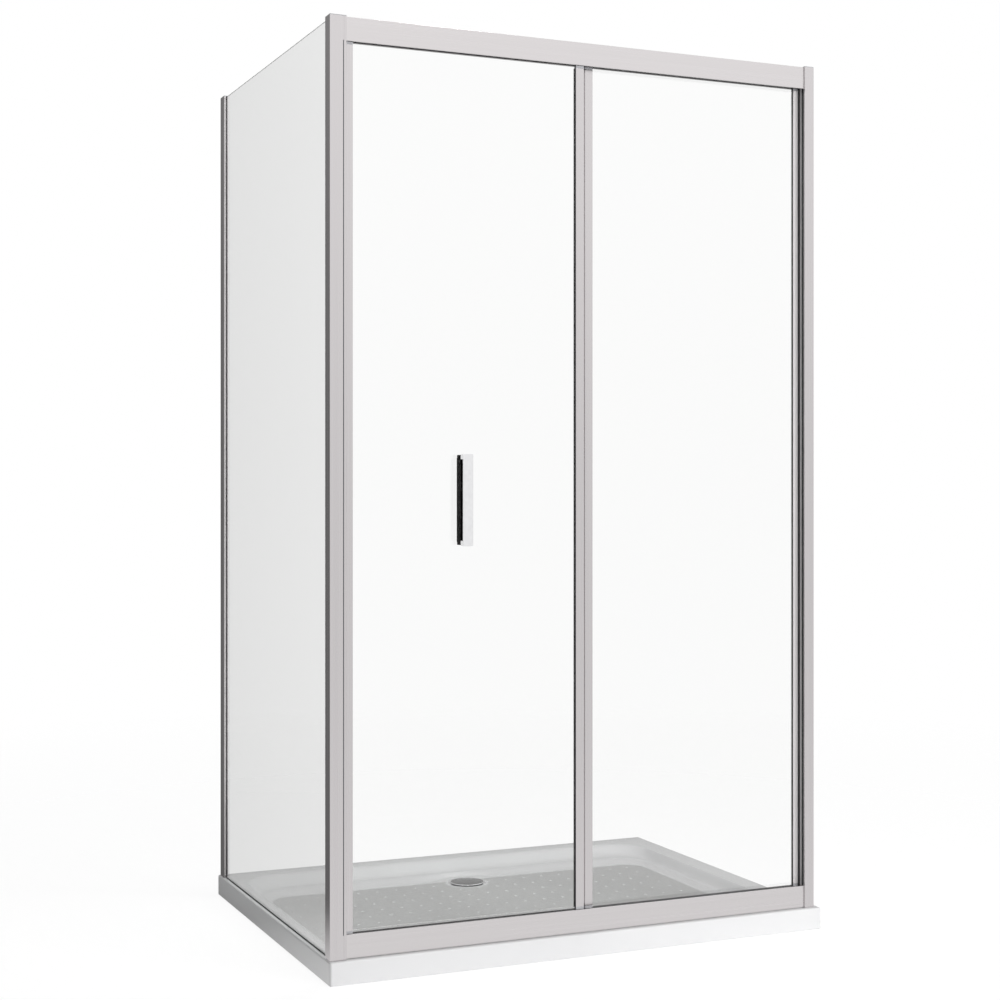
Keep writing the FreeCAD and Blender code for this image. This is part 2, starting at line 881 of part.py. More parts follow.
def make_right_profile():
    width = D.wall_profile_width
    depth = D.wall_profile_depth
    wall_size = D.post_wall
    web = width - D.wall_profile_web
    high = top - D.cap_thickness
    section = [
        (0, 0),
        (width, 0, D.edge_radius),
        (width, depth, D.edge_radius),
        (0, depth),
        (0, depth - wall_size),
        (web, depth - wall_size),
        (web, wall_size),
        (0, wall_size),
    ]
    profile = extruded("wall_profile_right", "XY_Plane", [section], high - rim)
    cut_pocket(profile, "wall_holes", "YZ_Plane", web, D.wall_profile_web,
               circles=[(depth / 2, level, D.wall_hole_radius) for level in wall_hole_levels()])
    place(keep(profile), rail_right, front, rim)

    jamb_low = D.post_wall + D.jamb_fit
    jamb_high = depth - D.post_wall - D.jamb_fit
    jamb_width = D.right_jamb_width
    groove = D.jamb_groove_depth
    front_groove = D.front_groove_setback
    rear_groove = D.rear_groove_setback
    jamb_section = [
        (0, jamb_low),
        (jamb_width, jamb_low),
        (jamb_width, jamb_high),
        (0, jamb_high),
        (0, rear_groove + D.rear_groove_width),
        (groove, rear_groove + D.rear_groove_width),
        (groove, rear_groove),
        (0, rear_groove),
        (0, front_groove + D.front_groove_width),
        (groove, front_groove + D.front_groove_width),
        (groove, front_groove),
        (0, front_groove),
    ]
    chamber_right = jamb_width - D.right_jamb_wall
    chamber = rectangle(D.right_jamb_face, jamb_low + wall_size,
                        chamber_right, jamb_high - wall_size)
    jamb = extruded("jamb_right", "XY_Plane", [jamb_section, chamber], high - rim)
    drill_for_rail_screws(jamb, rim, chamber_right, D.right_jamb_wall, 0, D.right_jamb_face)
    place(keep(jamb), rail_right, front, rim)

    play = D.jamb_gasket_play
    front_gasket = block(
        "jamb_gasket_front", rail_right - D.jamb_gasket_proud, front + front_groove + play,
        bottom_rail_high, groove + D.jamb_gasket_proud, D.front_groove_width - play * 2,
        top_rail_low - bottom_rail_high)
    rear_gasket = block(
        "jamb_gasket_rear", fixed_right, front + rear_groove + play,
        deck, rail_right + groove - fixed_right, D.rear_groove_width - play * 2,
        soffit - deck)
    group("jamb_gaskets", [front_gasket, rear_gasket])
    return rail_right + D.right_jamb_face


def wall_hole_levels():
    """Heights of the four wall screws above the rim."""
    return [D.wall_hole_inset + D.wall_hole_pitch * step for step in range(4)]


def make_side_profile():
    slot_left = D.side_glass_inset - D.side_profile_offset - D.gasket_thickness
    slot_right = slot_left + slot_width
    width = D.side_profile_width
    depth = D.side_profile_depth
    slot_back = depth - D.side_profile_web
    high = top - D.cap_thickness
    section = [
        (0, 0, D.edge_radius),
        (slot_left, 0),
        (slot_left, slot_back),
        (slot_right, slot_back),
        (slot_right, 0),
        (width, 0, D.edge_radius),
        (width, depth),
        (0, depth),
    ]
    profile = extruded("wall_profile_side", "XY_Plane", [section], high - rim)
    centre = (slot_left + slot_right) / 2
    cut_pocket(profile, "wall_holes", "XZ_Plane", slot_back, D.side_profile_web,
               circles=[(centre, level, D.wall_hole_radius) for level in wall_hole_levels()])
    place(keep(profile), left + D.side_profile_offset, side_profile_front, rim)

    right_cap = extruded(
        "wall_cap_right", "XY_Plane",
        [rectangle(0, 0, D.wall_profile_width, D.wall_profile_depth, D.edge_radius)],
        D.cap_thickness)
    place(right_cap, rail_right, front, high)
    side_cap = extruded(
        "wall_cap_side", "XY_Plane", [rectangle(0, 0, width, depth, D.edge_radius)],
        D.cap_thickness)
    place(side_cap, left + D.side_profile_offset, side_profile_front, high)
    group("wall_profile_caps", [right_cap, side_cap])


# ---- rails ----------------------------------------------------------------------------------

def rail_ports(levels):
    return [(D.screw_line, level, D.screw_shank_radius + D.screw_fit) for level in levels]


def make_bottom_rail():
    wall_size = D.rail_wall
    height = D.rail_height
    depth = D.rail_depth
    guide_centre = wall_size + D.door_chamber / 2
    guide_front = guide_centre - D.guide_groove_width / 2
    guide_back = guide_centre + D.guide_groove_width / 2
    guide_floor = height - D.guide_groove_depth
    groove_front = wall_size * 2 + D.door_chamber
    groove_back = groove_front + D.glass_groove
    groove_floor = height - D.glass_groove_depth
    deck_height = height - D.sill_drop
    section = [
        (0, 0, D.edge_radius),
        (depth, 0, D.edge_radius),
        (depth, deck_height, D.edge_radius),
        (groove_back, deck_height),
        (groove_back, groove_floor),
        (groove_front, groove_floor),
        (groove_front, deck_height),
        (guide_back, deck_height),
        (guide_back, guide_floor),
        (guide_front, guide_floor),
        (guide_front, deck_height),
        (wall_size, deck_height),
        (wall_size, height),
        (0, height, D.edge_radius),
    ]
    web_front = D.screw_line - D.screw_web / 2
    web_back = D.screw_line + D.screw_web / 2
    chamber_high = groove_floor - wall_size
    front_chamber = rectangle(wall_size, wall_size, web_front, chamber_high)
    rear_chamber = rectangle(web_back, wall_size, depth - wall_size, chamber_high)
    rail = extruded("bottom_rail", "YZ_Plane", [section, front_chamber, rear_chamber], rail_length,
                    rail_ports((D.screw_low, D.screw_high)))
    place(keep(rail), rail_left, rail_front, bottom_rail_low)
    inset = D.sill_gasket_inset
    keep(block("sill_gasket", rail_left, rail_front + inset, rim,
               rail_length, depth - inset * 2, D.sill_gasket_thickness))


def make_top_rail():
    wall_size = D.rail_wall
    height = D.rail_height
    depth = D.rail_depth
    ceiling = height - wall_size
    web_front = wall_size + D.door_chamber
    ledge_low = D.ledge_height
    ledge_high = ledge_low + D.ledge_thickness
    lip_front = wall_size + D.ledge_lip_setback
    lip_back = lip_front + D.ledge_lip_thickness
    lip_high = ledge_high + D.ledge_lip_height
    groove_front = web_front + wall_size
    groove_back = groove_front + D.glass_groove
    groove_high = D.glass_groove_depth
    soffit = D.soffit_rise
    section = [
        (0, 0, D.edge_radius),
        (wall_size, 0),
        (wall_size, ceiling),
        (web_front, ceiling),
        (web_front, ledge_high),
        (lip_back, ledge_high),
        (lip_back, lip_high),
        (lip_front, lip_high),
        (lip_front, ledge_low),
        (web_front, ledge_low),
        (web_front, soffit),
        (groove_front, soffit),
        (groove_front, groove_high),
        (groove_back, groove_high),
        (groove_back, soffit),
        (depth, soffit, D.edge_radius),
        (depth, height, D.edge_radius),
        (0, height, D.edge_radius),
    ]
    chamber = rectangle(D.screw_line + D.screw_web / 2, groove_high + wall_size,
                        depth - wall_size, ceiling)
    small_chamber = rectangle(groove_back + wall_size, soffit + wall_size, depth - wall_size,
                              groove_high)
    levels = (D.top_screw_lift + D.screw_low, D.top_screw_lift + D.screw_high)
    rail = extruded("top_rail", "YZ_Plane", [section, chamber, small_chamber], rail_length,
                    rail_ports(levels))
    place(keep(rail), rail_left, rail_front, top_rail_low)

    brush_depth = D.door_chamber / 2 - glass_reach - D.brush_gap
    keep(block("door_brush_seal", rail_left, rail_front + wall_size, top_rail_low,
               rail_length, brush_depth, D.brush_height))

    buffer_front = rail_front + lip_back + D.buffer_play
    buffer_depth = web_front - lip_back - D.buffer_play * 2
    buffer_low = top_rail_low + ledge_high
    reach = D.wheel_spacing / 2 + D.wheel_radius + D.buffer_gap
    left_face = door_left + D.carriage_inset - reach
    right_face = door_right - D.carriage_inset + reach + D.door_travel
    group("track_buffers", [
        block("track_buffer_left", left_face - D.buffer_length, buffer_front, buffer_low,
              D.buffer_length, buffer_depth, D.buffer_height),
        block("track_buffer_right", right_face, buffer_front, buffer_low,
              D.buffer_length, buffer_depth, D.buffer_height),
    ])


def make_rail_screws(left_seat, right_seat):
    """Screws from inside the jambs into the ports at both ends of both rails."""
    line = rail_front + D.screw_line
    members = []
    for number, level in enumerate(screw_levels()):
        left_reach = rail_left - left_seat + D.screw_entry
        left_screw = turned("rail_screw_left_" + str(number), "x", [
            (-D.screw_head_height, 0),
            (-D.screw_head_height, D.screw_head_radius, D.edge_radius),
            (0, D.screw_head_radius),
            (0, D.screw_shank_radius),
            (left_reach, D.screw_shank_radius),
            (left_reach, 0),
        ])
        place(left_screw, left_seat, line, level)
        right_reach = right_seat - rail_right + D.screw_entry
        right_screw = turned("rail_screw_right_" + str(number), "x", [
            (-right_reach, 0),
            (-right_reach, D.screw_shank_radius),
            (0, D.screw_shank_radius),
            (0, D.screw_head_radius),
            (D.screw_head_height, D.screw_head_radius, D.edge_radius),
            (D.screw_head_height, 0),
        ])
        place(right_screw, right_seat, line, level)
        members += [left_screw, right_screw]
    group("rail_screws", members)


# ---- side panel -----------------------------------------------------------------------------

def make_side_panel():
    start = front + D.corner_depth - D.corner_slot_depth + D.glass_edge_play
    end = side_profile_front + D.side_glass_entry
    low = rim + D.side_glass_lift
    height = top - D.side_glass_top_gap - low
    glass = extruded("side_glass", "YZ_Plane", [rectangle(
        0, 0, end - start, height, D.glass_corner_radius)], D.glass_thickness)
    soften(glass, "Chamfer", "arris", D.glass_arris)
    place(keep(glass), side_outer, start, low)

    seal_start = front + D.corner_depth
    keep(block("side_sill_seal", side_outer, seal_start, rim,
               D.glass_thickness, side_profile_front - seal_start, D.side_glass_lift))

    gasket_low = low + D.glass_corner_radius
    gasket_length = top - D.side_glass_top_gap - D.glass_corner_radius - gasket_low
    members = []
    faces = (("outer", side_outer - D.gasket_thickness), ("inner", side_outer + D.glass_thickness))
    for name, across in faces:
        post_end = front + D.corner_depth + D.slim_bead
        members.append(block(
            "side_gasket_post_" + name, across, start, gasket_low,
            D.gasket_thickness, post_end - start, gasket_length))
        wall_start = side_profile_front - D.slim_bead
        members.append(block(
            "side_gasket_wall_" + name, across, wall_start, gasket_low,
            D.gasket_thickness, end - wall_start, gasket_length))
    group("side_glass_gaskets", members)


# ---- stiles ---------------------------------------------------------------------------------

def stile_section(width, slot_depth, slot_side, extra=None):
    """A stile's outline with its glass slot open to the right or to the left."""
    slot_front = (D.stile_depth - slot_width) / 2
    slot_back = slot_front + slot_width
    root = width - slot_depth if slot_side == "right" else slot_depth
    if slot_side == "right":
        corners = [(0, 0, D.edge_radius)]
        corners += extra or []
        corners += [
            (width, 0, D.edge_radius),
            (width, slot_front),
            (root, slot_front),
            (root, slot_back),
            (width, slot_back),
            (width, D.stile_depth, D.edge_radius),
            (0, D.stile_depth, D.edge_radius),
        ]
        return corners
    return [
        (0, 0, D.edge_radius),
        (width, 0, D.edge_radius),
        (width, D.stile_depth, D.edge_radius),
        (0, D.stile_depth, D.edge_radius),
        (0, slot_back),
        (root, slot_back),
        (root, slot_front),
        (0, slot_front),
    ]


def leading_section():
    section = stile_section(D.leading_stile_width, D.stile_slot_depth, "right")
    low = (D.stile_depth - D.magnet_width) / 2
    high = low + D.magnet_width
    root = D.magnet_depth - (D.closing_gap - D.magnet_gap)
    return section + [(0, high), (root, high), (root, low), (0, low)]


def fixed_section():
    groove_left = D.fixed_stile_groove_setback
    groove_right = groove_left + D.fixed_stile_groove_width
    groove_depth = D.fixed_stile_groove_depth
    groove = [
        (groove_left, 0),
        (groove_left, groove_depth),
        (groove_right, groove_depth),
        (groove_right, 0),
    ]
    return stile_section(D.fixed_stile_width, D.fixed_slot_depth, "right", groove)


def upright(label, outlines, x, y, z, length):
    body = extruded(label, "XY_Plane", outlines, length)
    place(body, x, y, z)
    return body


def make_fixed_panel():
    stile_front = fixed_line - stile_reach
    wall = D.stile_wall
    slot_root = D.fixed_stile_width - D.fixed_slot_depth
    hollow_right = D.fixed_stile_groove_setback - wall
    hollow = rectangle(wall, wall, hollow_right, D.stile_depth - wall)
    fixed_cap_low = deck + D.stile_cap_gap
    fixed_cap_high = soffit - D.stile_cap_gap - D.stile_cap_height
    fixed_low = fixed_cap_low + D.stile_cap_height
    fixed_length = fixed_cap_high - fixed_low
    gasket_length = soffit - D.stile_cap_gap - fixed_cap_low
    wall_stile_left = fixed_right - D.wall_stile_width
    wall_section = stile_section(D.wall_stile_width, D.stile_slot_depth, "left")
    keep(upright("fixed_stile", [fixed_section(), hollow], fixed_left, stile_front,
                 fixed_low, fixed_length))
    keep(upright("fixed_wall_stile", [wall_section], wall_stile_left, stile_front,
                 fixed_low, fixed_length))
    caps = []
    for name, section, x in (("fixed_stile_cap", fixed_section(), fixed_left),
                             ("wall_stile_cap", wall_section, wall_stile_left)):
        caps += [
            upright(name + "_low", [section], x, stile_front, fixed_cap_low,
                    D.stile_cap_height),
            upright(name + "_high", [section], x, stile_front, fixed_cap_high,
                    D.stile_cap_height),
        ]
    group("fixed_stile_caps", caps)

    glass_left = fixed_left + slot_root + D.glass_edge_play
    glass_right = wall_stile_left + D.stile_slot_depth - D.glass_edge_play
    groove_floor = bottom_rail_high - D.glass_groove_depth
    glass_low = groove_floor + D.setting_block_height
    glass_high = top_rail_low + D.top_glass_entry
    glass_front = fixed_line - glass_reach
    glass = extruded("fixed_glass", "XZ_Plane", [rectangle(
        0, 0, glass_right - glass_left, glass_high - glass_low, D.glass_corner_radius)],
        D.glass_thickness)
    soften(glass, "Chamfer", "arris", D.glass_arris)
    place(keep(glass), glass_left, glass_front, glass_low)
    blocks = []
    for name, x in (("left", glass_left + D.setting_block_inset),
                    ("right", glass_right - D.setting_block_inset - D.setting_block_length)):
        blocks.append(block("setting_block_" + name, x, glass_front, groove_floor,
                            D.setting_block_length, D.glass_thickness, D.setting_block_height))
    group("setting_blocks", blocks)

    inner_left = fixed_left + D.fixed_stile_width
    inner_length = wall_stile_left - inner_left
    rail_gasket = (D.glass_groove - D.glass_thickness) / 2
    low_gasket = bottom_rail_high - D.rail_bead_entry
    high_gasket = soffit - D.soffit_bead
    members = []
    stile_gasket_width = D.fixed_slot_depth - D.glass_edge_play + D.slim_bead
    wall_gasket_width = D.stile_slot_depth - D.glass_edge_play + D.slim_bead
    for name, rail_y, stile_y in (
            ("front", glass_front - rail_gasket, glass_front - D.gasket_thickness),
            ("back", glass_front + D.glass_thickness, glass_front + D.glass_thickness)):
        members += [
            block("fixed_gasket_low_" + name, inner_left + D.slim_bead, rail_y, low_gasket,
                  inner_length - D.slim_bead * 2, rail_gasket,
                  deck + D.sill_bead - low_gasket),
            block("fixed_gasket_high_" + name, inner_left + D.slim_bead, rail_y, high_gasket,
                  inner_length - D.slim_bead * 2, rail_gasket,
                  D.rail_bead_entry + D.soffit_bead),
            block("fixed_gasket_stile_" + name, glass_left, stile_y, fixed_cap_low,
                  stile_gasket_width, D.gasket_thickness, gasket_length),
            block("fixed_gasket_wall_" + name, wall_stile_left - D.slim_bead, stile_y,
                  fixed_cap_low, wall_gasket_width, D.gasket_thickness, gasket_length),
        ]
    group("fixed_glass_gaskets", members)


# ---- sliding door ---------------------------------------------------------------------------

door_stile_front = door_line - stile_reach
door_glass_front = door_line - glass_reach
door_glass_back = door_line + glass_reach
door_glass_left = door_left + D.leading_stile_width - D.stile_slot_depth + D.glass_edge_play
door_glass_right = door_right - D.trailing_stile_width + D.trailing_slot_depth - D.glass_edge_play
door_glass_low = stile_low
door_glass_high = top_rail_low + D.door_glass_entry
bolt_level = top_rail_low + D.bolt_height
handle_left = door_left + D.handle_offset
handle_centre = handle_left + D.handle_width / 2
handle_low = rim + D.handle_centre_height - D.handle_height / 2
carriage_centres = {
    "left": door_left + D.carriage_inset,
    "right": door_right - D.carriage_inset,
}


def bolt_places():
    """The X of each carriage bolt."""
    places = []
    for side, centre in carriage_centres.items():
        for name, sign in (("a", -1), ("b", 1)):
            places.append((side + "_" + name, centre + D.bolt_spacing / 2 * sign))
    return places


def handle_screw_levels():
    centre = rim + D.handle_centre_height
    half = D.handle_screw_spacing / 2
    return (("low", centre - half), ("high", centre + half))


def make_door_glass():
    holes = [(x - door_glass_left, bolt_level - door_glass_low, D.glass_hole_radius)
             for name, x in bolt_places()]
    holes += [(handle_centre - door_glass_left, level - door_glass_low, D.glass_hole_radius)
              for name, level in handle_screw_levels()]
    glass = extruded("door_glass", "XZ_Plane", [rectangle(
        0, 0, door_glass_right - door_glass_left, door_glass_high - door_glass_low,
        D.glass_corner_radius)], D.glass_thickness, holes)
    soften(glass, "Chamfer", "arris", D.glass_arris)
    place(keep(glass), door_glass_left, door_glass_front, door_glass_low)


def make_door_stiles():
    trailing_left = door_right - D.trailing_stile_width
    trailing = stile_section(D.trailing_stile_width, D.trailing_slot_depth, "left")
    hollow = rectangle(D.trailing_slot_depth + D.stile_wall, D.stile_wall,
                       D.trailing_stile_width - D.stile_wall, D.stile_depth - D.stile_wall)
    keep(upright("door_leading_stile", [leading_section()], door_left, door_stile_front,
                 stile_low, stile_length))
    keep(upright("door_trailing_stile", [trailing, hollow], trailing_left, door_stile_front,
                 stile_low, stile_length))
    group("door_stile_caps", [
        upright("leading_cap", [leading_section()], door_left, door_stile_front,
                stile_high, D.stile_cap_height),
        upright("trailing_cap", [trailing], trailing_left, door_stile_front,
                stile_high, D.stile_cap_height),
    ])
    magnet_depth = D.magnet_depth
    keep(block("door_magnet", rail_left + D.magnet_gap, door_line - D.magnet_width / 2, stile_low,
               magnet_depth, D.magnet_width, stile_length))
    members = []
    leading_width = D.stile_slot_depth - D.glass_edge_play + D.slim_bead
    trailing_width = D.trailing_slot_depth - D.glass_edge_play + D.gasket_bead
    for name, y in (("front", door_glass_front - D.gasket_thickness), ("back", door_glass_back)):
        members += [
            block("door_gasket_leading_" + name, door_glass_left, y, stile_low,
                  leading_width, D.gasket_thickness, stile_length),
            block("door_gasket_trailing_" + name, trailing_left - D.gasket_bead, y, stile_low,
                  trailing_width, D.gasket_thickness, stile_length),
        ]
    group("door_edge_gaskets", members)

    seal_left = door_left + D.leading_stile_width
    keep(block("door_drip_seal", seal_left, door_glass_front, cap_low,
               trailing_left - seal_left, D.glass_thickness, D.stile_cap_height))
    seal_back = fixed_line - stile_reach - D.interlock_gap
    stile_back = door_line + stile_reach
    keep(block("interlock_seal", door_right - D.interlock_setback, stile_back, stile_low,
               D.interlock_width, seal_back - stile_back, stile_length))


def make_guides():
    """Blocks under the stiles, each with a pin and a roller that runs in the sill's groove."""
    places = (
        ("left", door_left, D.leading_stile_width),
        ("right", door_right - D.trailing_stile_width, D.trailing_stile_width),
    )
    blocks = []
    pins = []
    roller_top = cap_low - D.guide_roller_drop
    for name, x, width in places:
        centre = x + width / 2
        pin_entry = D.guide_pin_entry
        guide = extruded("guide_block_" + name, "XY_Plane", [rectangle(
            0, 0, width, D.stile_depth, D.edge_radius)], D.stile_cap_height)
        cut_pocket(guide, "pin_hole", "XY_Plane", 0, pin_entry,
                   circles=[(width / 2, stile_reach, D.guide_pin_radius)])
        place(guide, x, door_stile_front, cap_low)
        blocks.append(guide)
        running = D.guide_pin_radius - D.running_clearance
        head_high = -(D.guide_roller_drop + D.guide_roller_height + D.axle_collar_gap)
        low = head_high - D.guide_head_height
        pin = turned("guide_pin_" + name, "z", [
            (low, 0),
            (low, D.guide_head_radius),
            (head_high, D.guide_head_radius),
            (head_high, running),
            (-D.guide_roller_drop + D.axle_collar_gap, running),
            (-D.guide_roller_drop + D.axle_collar_gap, D.guide_head_radius),
            (0, D.guide_head_radius),
            (0, D.guide_pin_radius),
            (pin_entry, D.guide_pin_radius),
            (pin_entry, 0),
        ])
        place(pin, centre, door_line, cap_low)
        pins.append(pin)
        roller = turned("guide_roller_" + name, "z", [
            (-D.guide_roller_height, D.guide_pin_radius),
            (-D.guide_roller_height, D.guide_roller_radius, D.edge_radius),
            (0, D.guide_roller_radius, D.edge_radius),
            (0, D.guide_pin_radius),
        ])
        place(keep(roller), centre, door_line, roller_top)
    group("guide_blocks", blocks)
    group("guide_pins", pins)


def make_carriages():
    """Hanger plates bolted to the door glass, with their axles and wheels."""
    plate_back = -glass_reach
    plate_front = plate_back - D.carriage_thickness
    wheel_front = D.wheel_setback - D.wheel_width / 2
    wheel_back = wheel_front + D.wheel_width
    axle_level = D.ledge_height + D.ledge_thickness + D.wheel_lift + D.wheel_radius
    axle_radius = D.axle_radius
    running = axle_radius - D.running_clearance
    half = D.carriage_length / 2
    axles = []
    for side, centre in carriage_centres.items():
        axle_holes = [(half + D.wheel_spacing / 2 * sign, axle_level - D.carriage_lift,
                       axle_radius + D.screw_fit) for sign in (-1, 1)]
        bolt_holes = [(half + D.bolt_spacing / 2 * sign, D.bolt_height - D.carriage_lift,
                       D.bolt_shank_radius + D.screw_fit) for sign in (-1, 1)]
        plate = extruded("carriage_" + side, "XZ_Plane", [rectangle(
            0, 0, D.carriage_length, D.carriage_height, D.carriage_corner_radius)],
            D.carriage_thickness, axle_holes + bolt_holes)
        place(keep(plate), centre - half, door_line + plate_front,
              top_rail_low + D.carriage_lift)
        for name, sign in (("outer", -1 if side == "left" else 1),
                           ("inner", 1 if side == "left" else -1)):
            x = centre + D.wheel_spacing / 2 * sign
            collar_end = wheel_front - D.axle_collar_gap
            head_start = wheel_back + D.axle_collar_gap
            head_end = head_start + D.axle_head_height
            axle = turned("axle_" + side + "_" + name, "y", [
                (plate_front, 0),
                (plate_front, axle_radius),
                (plate_back, axle_radius),
                (plate_back, D.axle_collar_radius),
                (collar_end, D.axle_collar_radius),
                (collar_end, running),
                (head_start, running),
                (head_start, D.axle_collar_radius),
                (head_end, D.axle_collar_radius),
                (head_end, 0),
            ])
            place(axle, x, door_line, top_rail_low + axle_level)
            axles.append(axle)
            tread = D.wheel_radius
            flank = tread - D.wheel_rim_height
            wheel = turned("wheel_" + side + "_" + name, "y", [
                (wheel_front, axle_radius),
                (wheel_front, flank),
                (wheel_front + D.wheel_flank_inset, flank),
                (wheel_front + D.wheel_flank_inset, tread, D.edge_radius),
                (wheel_back - D.wheel_flank_inset, tread, D.edge_radius),
                (wheel_back - D.wheel_flank_inset, flank),
                (wheel_back, flank),
                (wheel_back, axle_radius),
            ])
            place(keep(wheel), x, door_line, top_rail_low + axle_level)
    group("wheel_axles", axles)


def make_carriage_bolts():
    plate_front = -glass_reach - D.carriage_thickness
    head_front = plate_front - D.bolt_head_height
    nut_back = glass_reach + D.nut_height
    bolts = []
    nuts = []
    bushes = []
    for name, x in bolt_places():
        bolt = turned("carriage_bolt_" + name, "y", [
            (head_front + D.bolt_socket_depth, 0),
            (head_front + D.bolt_socket_depth, D.bolt_socket_radius),
            (head_front, D.bolt_socket_radius),
            (head_front, D.bolt_head_radius, D.edge_radius),
            (plate_front, D.bolt_head_radius),
            (plate_front, D.bolt_shank_radius),
            (nut_back, D.bolt_shank_radius),
            (nut_back, 0),
        ])
        place(bolt, x, door_line, bolt_level)
        bolts.append(bolt)
        nut = turned("carriage_nut_" + name, "y", [
            (glass_reach, D.bolt_shank_radius + D.screw_fit),
            (glass_reach, D.bolt_head_radius),
            (nut_back, D.bolt_head_radius, D.edge_radius),
            (nut_back, D.bolt_shank_radius + D.screw_fit),
        ])
        place(nut, x, door_line, bolt_level)
        nuts.append(nut)
        bushes.append(glass_bush("glass_bush_" + name, D.bolt_shank_radius, x, bolt_level))
    for name, level in handle_screw_levels():
        bushes.append(glass_bush(
            "glass_bush_handle_" + name, D.handle_screw_radius, handle_centre, level))
    group("carriage_bolts", bolts)
    group("carriage_nuts", nuts)
    group("glass_bushes", bushes)


def glass_bush(label, shank_radius, x, z):
    outer = D.glass_hole_radius - D.bush_clearance
    inner = shank_radius + D.bush_clearance
    bush = turned(label, "y", [
        (-glass_reach, inner),
        (-glass_reach, outer),
        (glass_reach, outer),
        (glass_reach, inner),
    ])
    place(bush, x, door_line, z)
    return bush


# ---- handle ---------------------------------------------------------------------------------

def make_handle():
    width = D.handle_width
    base_low = rim + D.handle_centre_height - D.handle_base_height / 2
    base_front = door_glass_front - D.handle_base_depth
    screw_holes = [(width / 2, level - base_low, D.handle_screw_radius + D.screw_fit)
                   for name, level in handle_screw_levels()]
    base = extruded("handle_base", "XZ_Plane", [rectangle(
        0, 0, width, D.handle_base_height, D.handle_base_radius)], D.handle_base_depth)
    cut_pocket(base, "screw_holes", "XZ_Plane", D.handle_base_depth - D.handle_screw_entry,
               D.handle_screw_entry, circles=screw_holes)
    place(keep(base), handle_left, base_front, base_low)

    grip = extruded("handle_grip", "XZ_Plane", [rectangle(
        0, 0, width, D.handle_height, D.handle_corner_radius)], D.handle_grip_depth)
    plate = D.handle_grip_plate
    doc.recompute()
    soften(grip, "Fillet", "front_edge", D.handle_front_radius, lambda box: box.YMax < 0.01)
    cut_pocket(grip, "finger_gap", "YZ_Plane", 0, width, [rectangle(
        plate, D.handle_grip_end, D.handle_grip_depth * 2,
        D.handle_height - D.handle_grip_end, D.handle_front_radius)])
    place(keep(grip), handle_left, base_front - D.handle_grip_depth, handle_low)

    inner_depth = D.handle_plate_depth
    inner_holes = [(width / 2, level - handle_low, D.handle_screw_radius + D.screw_fit)
                   for name, level in handle_screw_levels()]
    inner = extruded("handle_inner_plate", "XZ_Plane", [rectangle(
        D.inner_plate_inset, D.inner_plate_end, width - D.inner_plate_inset,
        D.handle_height - D.inner_plate_end, D.handle_plate_radius)], inner_depth, inner_holes)
    head_seat = inner_depth - D.handle_screw_head_height
    cut_pocket(inner, "head_seats", "XZ_Plane", head_seat, D.handle_screw_head_height,
               circles=[(hole[0], hole[1], D.handle_screw_head_radius + D.screw_clearance)
                        for hole in inner_holes])
    place(keep(inner), handle_left, door_glass_back, handle_low)

    screws = []
    reach = D.handle_screw_entry + D.glass_thickness + head_seat
    for name, level in handle_screw_levels():
        screw = turned("handle_screw_" + name, "y", [
            (-reach, 0),
            (-reach, D.handle_screw_radius),
            (0, D.handle_screw_radius),
            (0, D.handle_screw_head_radius),
            (D.handle_screw_head_height, D.handle_screw_head_radius, D.edge_radius),
            (D.handle_screw_head_height, 0),
        ])
        place(screw, handle_centre, door_glass_back + head_seat, level)
        screws.append(screw)
    group("handle_screws", screws)


# ---- the whole enclosure --------------------------------------------------------------------

def check_document():
    """Stops if any object failed or any piece isn't a valid closed solid."""
    doc.recompute()
    for part in doc.Objects:
        if "Invalid" in part.State or "Error" in part.State:
            raise RuntimeError(part.Label + " failed: " + ", ".join(part.State))
    for piece in pieces:
        shape = piece.Shape
        if shape.isNull() or not shape.isValid() or not shape.Solids:
            raise RuntimeError(piece.Label + " isn't a valid solid")
        if not all(solid.isClosed() for solid in shape.Solids):
            raise RuntimeError(piece.Label + " isn't closed")


def write_pieces():
    os.makedirs("parts", exist_ok=True)
    for piece in pieces:
        piece.Shape.exportStep("parts/" + piece.Label + ".step")
    print(len(pieces), "pieces written")


make_tray_shell()
make_base_board()
cover_seat = make_waste()
make_drain_cap(cover_seat)
left_screw_seat = make_corner_post()
right_screw_seat = make_right_profile()
make_side_profile()
make_bottom_rail()
make_top_rail()
make_rail_screws(left_screw_seat, right_screw_seat)
make_side_panel()
make_fixed_panel()
make_door_glass()
make_door_stiles()
make_guides()
make_carriages()
make_carriage_bolts()
make_handle()
check_document()
write_pieces()
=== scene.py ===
import bmesh
import bpy
import math
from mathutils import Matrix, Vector


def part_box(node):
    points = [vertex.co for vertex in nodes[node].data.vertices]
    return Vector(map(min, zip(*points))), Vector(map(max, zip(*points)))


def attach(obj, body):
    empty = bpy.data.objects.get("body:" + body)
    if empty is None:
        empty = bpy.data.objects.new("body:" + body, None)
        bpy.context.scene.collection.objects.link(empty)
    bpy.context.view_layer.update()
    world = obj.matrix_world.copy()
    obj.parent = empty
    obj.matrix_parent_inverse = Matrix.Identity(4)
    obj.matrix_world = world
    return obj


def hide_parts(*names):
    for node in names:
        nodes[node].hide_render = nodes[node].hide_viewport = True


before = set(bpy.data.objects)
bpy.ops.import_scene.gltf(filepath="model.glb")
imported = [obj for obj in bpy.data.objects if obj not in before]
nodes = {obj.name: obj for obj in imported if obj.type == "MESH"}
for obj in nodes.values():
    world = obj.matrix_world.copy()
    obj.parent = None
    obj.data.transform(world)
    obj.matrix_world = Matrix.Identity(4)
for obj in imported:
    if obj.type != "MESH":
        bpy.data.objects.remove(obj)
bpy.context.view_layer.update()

MM = 0.001

